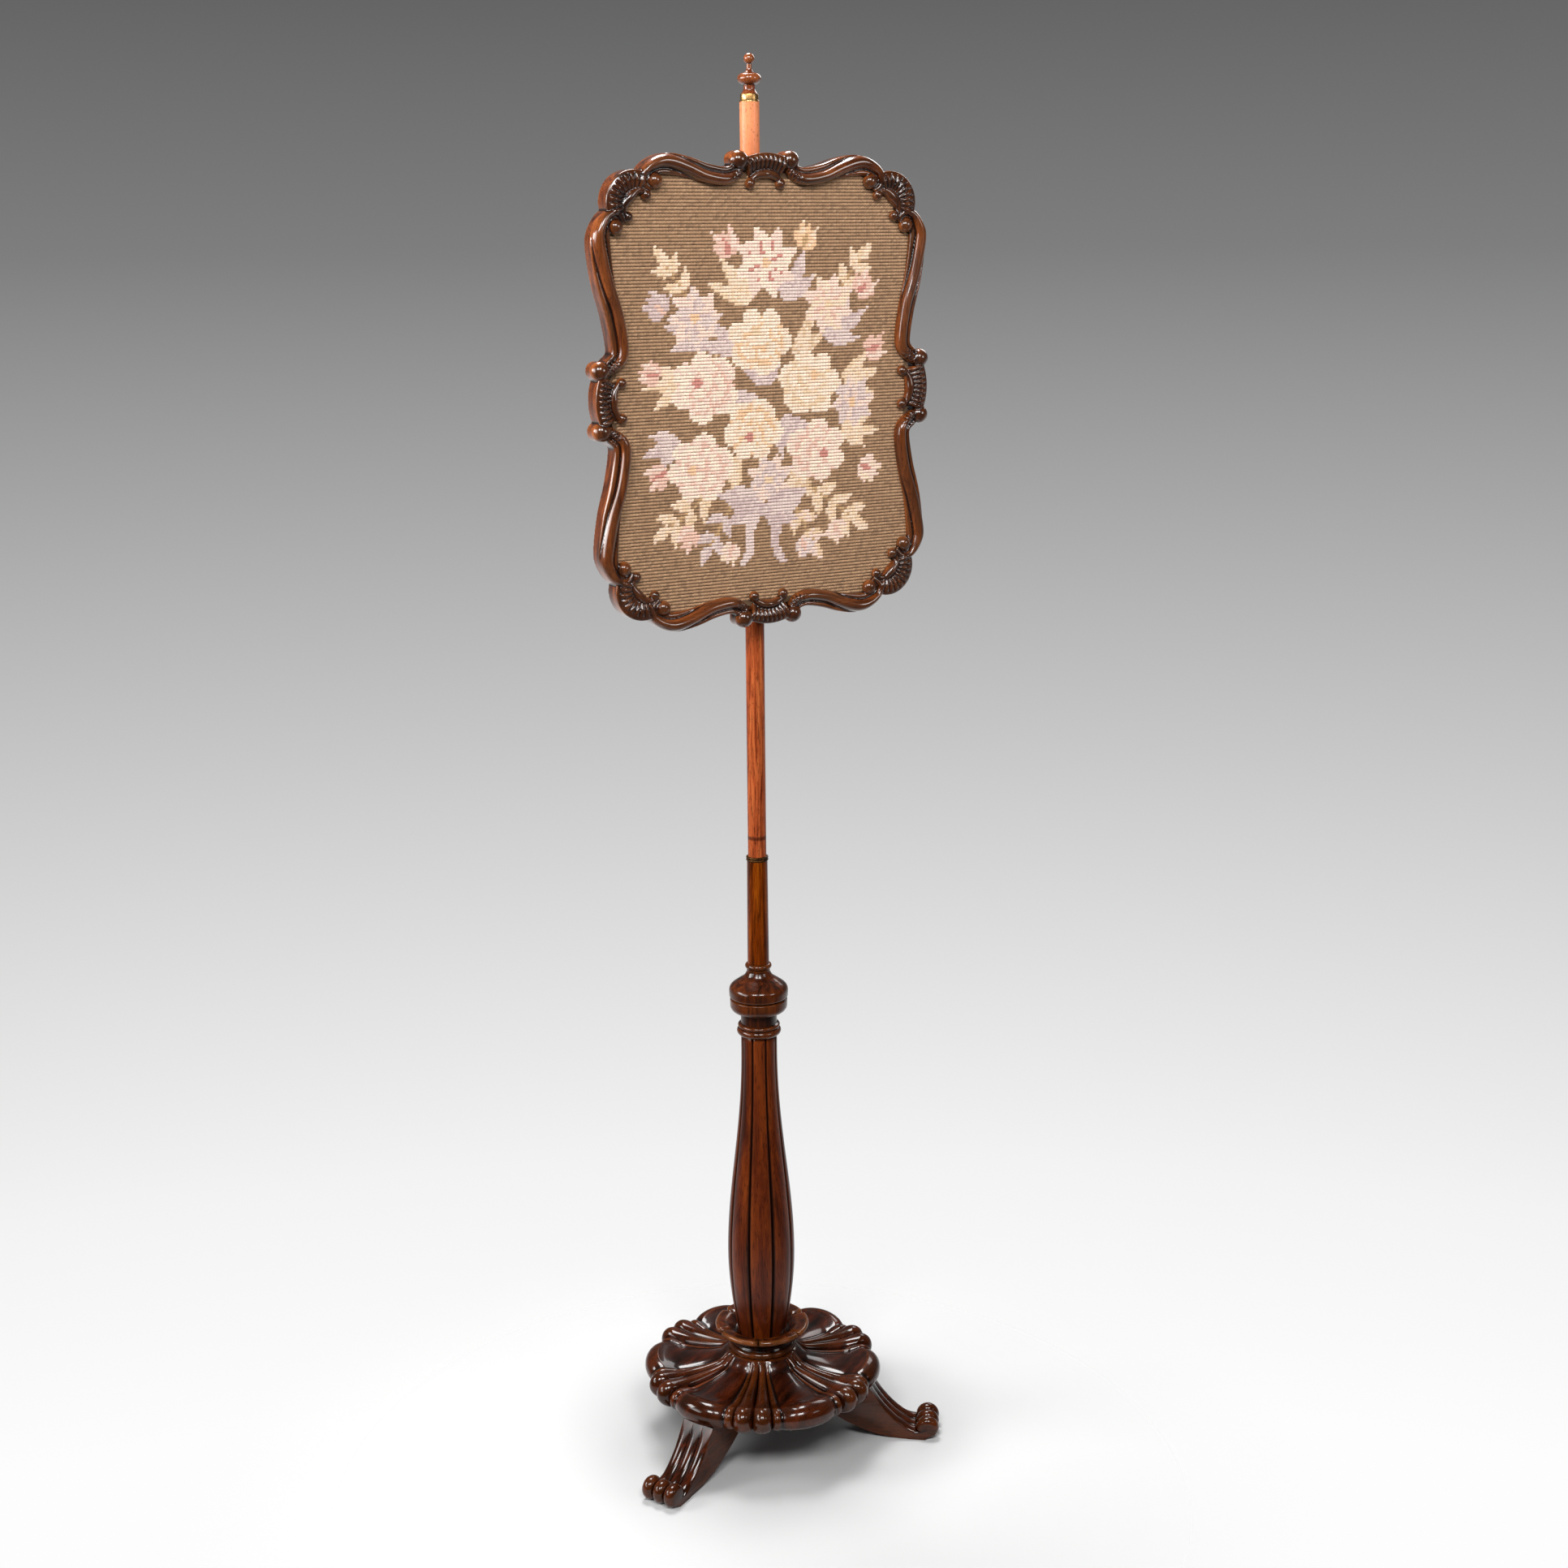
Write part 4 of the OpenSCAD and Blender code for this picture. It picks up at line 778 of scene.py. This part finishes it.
x, z = x[kept], z[kept]

wools = {name: np.array(hexa(code)[:3]) for name, code in {
    "ground": "#A07B59", "ground_light": "#AA8562", "ground_dark": "#8E6C4D", "cream": "#EECFB3",
    "ivory": "#F3D9C2", "blush": "#EECDBB", "pink": "#E4B8A4", "rose": "#C68274", "lilac": "#CAB0AA",
    "mist": "#DBC3BA", "peach": "#EABD94", "straw": "#E6C4A0", "sage": "#DAB894", "stem": "#BE986C"}.items()}
draw = np.random.default_rng(7)
pick, mixed = draw.random(len(x)), draw.random(len(x))
wool = np.where((pick < 0.2)[:, None], wools["ground_light"],
                np.where((pick > 0.85)[:, None], wools["ground_dark"], wools["ground"]))
sewn = np.zeros(len(x), bool)


def sew(where, tone, other=None):
    """Changes the wool in a part of the picture; a few of the stitches there take another tone."""
    wool[where] = wools[tone]
    if other:
        wool[where & (mixed < 0.25)] = wools[other]
    sewn[where] = True


def seen_from(x0, z0, turn):
    """How far each stitch lies along a direction from a point, and how far to its right."""
    c, s = math.cos(turn), math.sin(turn)
    return (x - x0) * c + (z - z0) * s, (x - x0) * s - (z - z0) * c


def leaf(x0, z0, turn, length, width, light, dark):
    """Pointed leaf from its stalk in a direction: one half light, the other dark."""
    along, off = seen_from(x0, z0, turn)
    t = along / length
    off = off + 0.22 * length * t * (t - 1)
    half = width / 2 * np.sin(np.pi * np.clip(t, 0, 1) ** 0.8)
    within = (abs(off) < half) & (t > 0) & (t < 1)
    sew(within, light, dark)
    sew(within & (off < -0.1 * width), dark, light)


def blades(x0, z0, turn, spread, lengths, light, dark):
    """Tuft of long leaves that part from one stalk."""
    for k, length in enumerate(lengths):
        leaf(x0, z0, turn + spread * (k - (len(lengths) - 1) / 2), length, 8 + 0.13 * length, light, dark)


def spray(x0, z0, turn, length, pairs, light, dark):
    """Stalk with slim leaves on either side and one at its end."""
    along, off = seen_from(x0, z0, turn)
    sew((abs(off) < stalk_half) & (along > 0) & (along < length), "stem")
    c, s = math.cos(turn), math.sin(turn)
    for k in range(pairs):
        at = (k + 0.5) / (pairs + 0.2) * length
        blades(x0 + at * c, z0 + at * s, turn, 1.6, (14 + length * 0.2,) * 2, light, dark)
    leaf(x0 + 0.9 * length * c, z0 + 0.9 * length * s, turn, 16 + length * 0.2, 12, light, dark)


def bud(cx, cz, reach, turn, tones):
    """Half-open bud: a cup of three petals on two sepals."""
    x0, z0 = cx - 0.5 * reach * math.cos(turn), cz - 0.5 * reach * math.sin(turn)
    for lean, length, tone in (
            (0.8, 1.0, 1), (-0.8, 1.0, 1), (0.36, 1.45, 0), (-0.36, 1.45, 0), (0.0, 1.3, 1)):
        leaf(x0, z0, turn + lean, reach * length, reach * 0.55, tones[tone], tones[1])
    leaf(x0, z0, turn, reach * 0.9, reach * 0.28, tones[2], tones[2])


def lily(cx, cz, reach, turn, tones, petals=8):
    """Open flower of pointed petals, every second one behind, with a streak up each and a small heart."""
    for back in (1, 0):
        for k in range(back, petals, 2):
            a = turn + 2 * math.pi * k / petals
            leaf(cx, cz, a, reach, reach * 0.56, tones[back], tones[1])
            along, off = seen_from(cx, cz, a)
            share = along / reach
            sew((share > 0.2) & (share < 0.55) & (abs(off) < stalk_half), tones[2])
    sew(np.hypot(x - cx, z - cz) < 4.5, tones[3])


def rose(cx, cz, reach, turn, tones):
    """Full rose seen from one side: rings of round petals, pale at their rims, deeper where they overlap."""
    for ring, (count, size) in enumerate(((6, 1.0), (5, 0.7), (3, 0.42))):
        px, pz = cx + 0.13 * ring * reach * math.cos(turn), cz + 0.13 * ring * reach * math.sin(turn)
        r, a = np.hypot(x - px, (z - pz) * 1.1), np.arctan2(z - pz, x - px) - turn - 1.1 * ring
        fold = abs(np.cos(count * a / 2 + 0.7 * np.sin(a)))
        depth = (size * reach * (0.76 + 0.24 * fold ** 0.7) - r) / reach
        sew(depth > 0, tones[2], tones[1])
        sew((depth > 0) & (depth < 0.24) & (fold > 0.2), tones[1], tones[0])
        sew((depth > 0) & (depth < 0.15) & (fold > 0.35), tones[0], tones[1])
    sew(np.hypot(x - px, z - pz) < 0.13 * reach, tones[3])


for x0, z0, turn, spread, lengths, tones in (
        (-20, 84, 2.15, 0.55, (44, 56, 48), "cream straw"), (20, 88, 1.1, 0.5, (46, 58, 50), "mist lilac"),
        (-64, 48, 2.5, 0.5, (50, 62, 54, 40), "mist lilac"),
        (66, 52, 0.75, 0.5, (44, 60, 62, 46), "mist lilac"),
        (-88, 10, 3.15, 0.55, (40, 46, 40), "cream straw"), (88, 14, 0.1, 0.55, (42, 46, 38), "cream straw"),
        (-92, -44, 3.4, 0.5, (38, 46, 36), "mist lilac"), (86, -36, -0.1, 0.5, (38, 48, 42), "cream straw"),
        (-30, 40, 2.7, 0.6, (44, 48), "mist lilac"), (30, 36, 0.8, 0.5, (46, 50), "cream sage"),
        (-8, -4, 3.9, 0.7, (40, 48, 40), "mist lilac"), (20, -22, 5.3, 0.6, (44, 50, 40), "mist lilac"),
        (-30, -60, 4.3, 0.6, (40, 44), "cream straw"), (34, -70, 5.0, 0.6, (44, 46), "cream sage"),
        (-4, 8, 1.6, 0.8, (30, 26, 32), "mist lilac"), (-40, 30, 3.4, 0.6, (30, 34), "cream sage")):
    blades(x0, z0, turn, spread, lengths, *tones.split())
for x0, z0, turn, length, pairs, tones in (
        (-58, -90, 3.75, 62, 3, "cream straw"), (50, -92, -0.6, 64, 3, "cream straw"),
        (-40, -108, 4.15, 46, 2, "mist lilac"), (32, -110, -1.05, 46, 2, "blush straw"),
        (-84, 92, 2.2, 40, 2, "cream straw"), (84, 96, 0.9, 40, 2, "cream straw")):
    spray(x0, z0, turn, length, pairs, *tones.split())
for flower, cx, cz, reach, turn, tones in (
        (bud, -42, 140, 21, 1.9, "blush pink rose"), (bud, 46, 146, 19, 1.2, "cream peach stem"),
        (bud, 112, 100, 20, 0.8, "blush pink rose"), (bud, -116, 84, 20, 2.6, "mist lilac pink"),
        (bud, 124, 40, 19, 0.3, "blush pink rose"), (bud, -124, 22, 18, 2.9, "blush pink rose"),
        (bud, -118, -74, 19, 3.5, "blush pink rose"), (bud, 118, -78, 20, -0.5, "cream blush rose"),
        (bud, -86, -134, 18, 4.0, "blush pink pink"), (bud, 82, -138, 18, -0.9, "cream blush pink"),
        (bud, -40, -152, 16, 4.4, "cream blush pink"), (bud, 44, -152, 16, -1.3, "blush mist pink"),
        (lily, 2, 124, 37, 0.35, "ivory blush rose peach"),
        (lily, -76, 74, 31, 0.1, "mist blush lilac peach"), (lily, 72, 84, 31, 0.5, "cream blush pink straw"),
        (lily, 100, -12, 27, 0.2, "blush mist lilac peach"),
        (lily, 4, -84, 28, 0.4, "mist blush lilac straw"), (rose, -6, 50, 36, 1.9, "ivory cream peach straw"),
        (rose, -66, 8, 38, 2.6, "ivory blush pink rose"), (rose, 50, 8, 36, 0.9, "ivory cream straw peach"),
        (rose, -14, -34, 34, 4.2, "ivory cream peach rose"),
        (rose, 58, -58, 35, -0.4, "ivory blush pink rose"),
        (rose, -72, -68, 37, 3.3, "ivory blush pink peach")):
    flower(cx, cz, reach, turn, tones.split())
for side in (1, -1):
    leaf(-4, -112, math.pi / 2 - side * 1.25, 54, 26, "mist", "lilac")
    leaf(-4, -112, math.pi / 2 - side * 1.85, 42, 20, "lilac", "mist")
    for t in np.arange(30) / 29:
        cx, cz = -4 + side * (4 + 20 * t + 4 * math.sin(6 * t)), -114 - 50 * t
        sew((abs(x - cx) < 6.2 - 2 * t) & (abs(z - cz) < 2.0), "lilac" if side > 0 else "mist", "mist")
sew(np.hypot(x + 4, (z + 112) * 1.2) < 8, "lilac", "mist")
wool = np.clip(wool * (0.95 + 0.1 * draw.random(len(x)))[:, None], 0, 1)

# Faded worsted wool gives matt, slightly fuzzy colours with a soft sheen. Its fibres are drawn coarser than
# real ones, so that they show.
worsted, node, place = blank("faded_worsted_wool")
dyed = node("Attribute", attribute_name="wool").outputs["Color"]
fibres = node("TexNoise", {"Vector": place, "Scale": 1 / wool_fibre, "Detail": 3.0})
fade = node("MapRange", [fibres, 0.3, 0.7, 0.78, 1.12])
colour = node("Mix", {0: 1.0, 6: dyed, 7: fade}, data_type="RGBA", blend_type="MULTIPLY")
relief = node("Bump", {"Height": fibres, "Strength": 0.35, "Distance": 0.0004})
shader = node("BsdfPrincipled", {"Base Color": colour, "Roughness": 0.85, "Normal": relief,
                                 "Sheen Weight": 0.25, "Sheen Roughness": 0.5})
node("OutputMaterial", [shader])

stitching = bpy.data.node_groups.new("tent_stitches", "GeometryNodeTree")
stitching.interface.new_socket("Geometry", in_out="INPUT", socket_type="NodeSocketGeometry")
sizes = [stitching.interface.new_socket(name, in_out="INPUT", socket_type="NodeSocketFloat").identifier
         for name in ("Stitch length", "Stitch width", "Stitch height", "Slant")]
stitching.interface.new_socket("Geometry", in_out="OUTPUT", socket_type="NodeSocketGeometry")
node = partial(add, stitching)
given = node("NodeGroupInput").outputs
bump = node("GeometryNodeMeshUVSphere", {"Segments": 6, "Rings": 4, "Radius": 0.5})
place = node("GeometryNodeInputPosition")
level = node("SeparateXYZ", [place]).outputs["Z"]
under = node("FunctionNodeCompare", [level, -0.1], operation="LESS_THAN")
upper = node("GeometryNodeDeleteGeometry", [bump, under])
size = node("CombineXYZ", given[1:4])
yarn = node("GeometryNodeTransform", {"Geometry": upper, "Scale": size})
sway = node("FunctionNodeRandomValue", {2: -stitch_sway, 3: stitch_sway, "Seed": 3}, data_type="FLOAT")
tilt = node("Math", [given["Slant"], sway], operation="ADD")
turn = node("CombineXYZ", [math.pi / 2, tilt])
laid = node("GeometryNodeInstanceOnPoints", {"Points": given["Geometry"], "Instance": yarn,
                                             "Rotation": turn})
real = node("GeometryNodeRealizeInstances", [laid])
dressed = node("GeometryNodeSetMaterial", {"Geometry": real, "Material": worsted})
node("NodeGroupOutput", [dressed])

for name, part, width, height in (("ground_stitches", ~sewn, 0.0028, 0.0020),
                                  ("bouquet_stitches", sewn, 0.0032, 0.0016)):
    mesh = bpy.data.meshes.new(name)
    count = int(part.sum())
    depth = frame_back + canvas_back + canvas_thickness
    spots = np.c_[x[part], np.full(count, -depth), z[part] + screen_centre] * 0.001
    mesh.from_pydata(spots.tolist(), [], [])
    layer = mesh.attributes.new("wool", "FLOAT_COLOR", "POINT")
    layer.data.foreach_set("color", np.c_[wool[part], np.ones(count)].ravel().astype(np.float32))
    piece = put(name, mesh)
    sewing = piece.modifiers.new("stitches", "NODES")
    sewing.node_group = stitching
    for socket, value in zip(sizes, (stitch_length, width, height, stitch_slant)):
        sewing[socket] = value
    show(name, evaluated(piece), worsted, "screen", "needlework", sharp=180)

# Strainer, back panel and brads
# Four pine bars behind the canvas, a thin mahogany board over them, and steel brads pressed into the frame to
# hold both. None of this is polished.

pine_tones = ("#B08A58", "#C8A470", "#D8BA8A", "#DEC496")
rail_pine = polished_wood("planed_pine_rails", pine_tones, (0, 0, 0), streak=(0.2, 0.006), dull=0.6)
stile_pine = polished_wood("planed_pine_stiles", pine_tones, streak=(0.2, 0.006), dull=0.6)
mahogany = polished_wood("planed_mahogany", ("#4A2413", "#6A3820", "#83492B", "#8A5030"),
                         streak=(0.22, 0.014), dull=0.45)
steel = aged_metal("steel_brads", ("#4A4642", "#8A8680", "#A8A49E"), 0.4)
for name, finish in (("strainer_left", stile_pine), ("strainer_right", stile_pine),
                     ("strainer_top", rail_pine), ("strainer_bottom", rail_pine), ("back_panel", mahogany),
                     ("panel_brads", steel)):
    dress(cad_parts[name].data, finish)

# Brackets, screws and thumbscrew
# Two brass plates with rings that ride on the pole, each held by two countersunk screws; a notched thumbscrew
# in the upper one pinches the pole, so that the screen stays at its height.

for name in ("bracket_upper", "bracket_lower", "bracket_screws", "thumbscrew"):
    dress(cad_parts[name].data, brass)

# Studio
# A pale floor that fades into a backdrop, grey above and white below. Two lamps hang over the camera, soft
# panels to the side, overhead and behind, and two gridded panels are aimed at the screen.

camera_distance, camera_height, aim_height, grid_spread = 2.1654, 1.2911, 0.75, math.radians(48)
screen_turn, pan, pitch, roll = (math.radians(v) for v in (29.67, 0.75, 14.40, -0.41))
lens = bpy.data.cameras.new("camera")
lens.sensor_width, lens.lens = 36.0, 49.909
lens.clip_end = 100.0
camera = put("camera", lens)
around = Matrix.Rotation(-screen_turn, 4, "Z")
camera.matrix_world = (around @ Matrix.Translation((0, -camera_distance, camera_height))
                       @ Matrix.Rotation(-pan, 4, "Z") @ Matrix.Rotation(math.pi / 2 - pitch, 4, "X")
                       @ Matrix.Rotation(roll, 4, "Z"))
bpy.context.scene.camera = camera

for name, across, back, height, size, power in (
        ("lamp_left", -0.75, -2.3, 2.75, 0.8, 54.0), ("lamp_right", 0.55, -2.3, 2.75, 0.8, 54.0),
        ("side_panel", -2.4, -0.3, 1.7, 0.8, 34.0), ("overhead_panel", -0.2, 0.9, 3.2, 1.0, 76.0),
        ("rear_panel", 1.2, 2.6, 2.4, 1.2, 20.0), ("gridded_panel_right", 2.1, -1.3, 1.8, 0.8, 1.5),
        ("gridded_panel_left", -2.1, -1.1, 1.7, 1.6, 7.0)):
    light = bpy.data.lights.new(name, "AREA")
    light.shape, light.size, light.energy = "SQUARE", size, power
    gridded = "gridded" in name
    light.spread = grid_spread if gridded else math.pi
    stand = around @ Vector((across, back, height))
    target = Vector((0, 0, screen_centre * 0.001 if gridded else aim_height))
    aim = (target - stand).to_track_quat("-Z", "Y")
    put(name, light).matrix_world = Matrix.Translation(stand) @ aim.to_matrix().to_4x4()

# The side of the room by the camera is dimmed where only reflections see it.
world = bpy.data.worlds.new("backdrop")
bpy.context.scene.world = world
world.use_nodes = True
world.node_tree.nodes.clear()
node = partial(add, world.node_tree)
look = node("TexCoord").outputs["Generated"]
height = node("SeparateXYZ", [look]).outputs["Z"]
level = node("MapRange", [height, -0.5, 0.5, 0.0, 1.0])
paper = node("ValToRGB", [level], stops=(
    (0.0, "#FDFDFD"), (0.09, "#F3F3F3"), (0.17, "#E1E1E1"), (0.275, "#C6C6C6"), (0.385, "#A5A5A5"),
    (0.49, "#7E7E7E"), (0.6, "#636363")))
rays = node("LightPath").outputs
ahead = node("VectorMath", [look, (math.sin(screen_turn), math.cos(screen_turn), 0.0)],
             operation="DOT_PRODUCT")
room = node("MapRange", [ahead, -0.2, 0.4, 0.15, 1.0])
unlit = node("Mix", {0: 1.0, 6: paper, 7: room}, data_type="RGBA", blend_type="MULTIPLY")
shade = node("Mix", {0: rays["Is Camera Ray"], 6: unlit, 7: paper}, data_type="RGBA")
seen = node("Math", [rays["Is Camera Ray"], rays["Is Glossy Ray"]], operation="MAXIMUM")
shown = node("Math", [seen, rays["Is Transmission Ray"]], operation="MAXIMUM")
backdrop = node("Background", [shade, 1.0])
glow = node("Background", ["#FFFFFF", 0.1])
mixed = node("MixShader", [shown, glow, backdrop])
node("OutputWorld", [mixed])

bm = bmesh.new()
bmesh.ops.create_circle(bm, cap_ends=True, segments=96, radius=1.5)
floor_mesh = bpy.data.meshes.new("floor")
bm.to_mesh(floor_mesh)
bm.free()
floor = put("floor", floor_mesh)

# Matt paper with a painted shadow: darker close by the stand, clearing to the backdrop further out.
paint, node, place = blank("pale_floor")
reach = node("VectorMath", [place, (-0.06, -0.1, 0.0)], operation="DISTANCE")
fade = node("MapRange", [reach, 0.2, 0.62, 0.0, 1.0], interpolation_type="SMOOTHSTEP")
# Painted shadow: the paper's colour is darker near the stand's foot.
near = node("VectorMath", [place], operation="LENGTH")
tone = node("MapRange", [near, 0.08, 0.27, 0.42, 0.58], interpolation_type="SMOOTHSTEP")
matt = node("BsdfDiffuse", [tone])
clear = node("BsdfTransparent")
mixed = node("MixShader", [fade, matt, clear])
node("OutputMaterial", [mixed])
dress(floor_mesh, paint)
bpy.context.scene.view_settings.view_transform = "Standard"
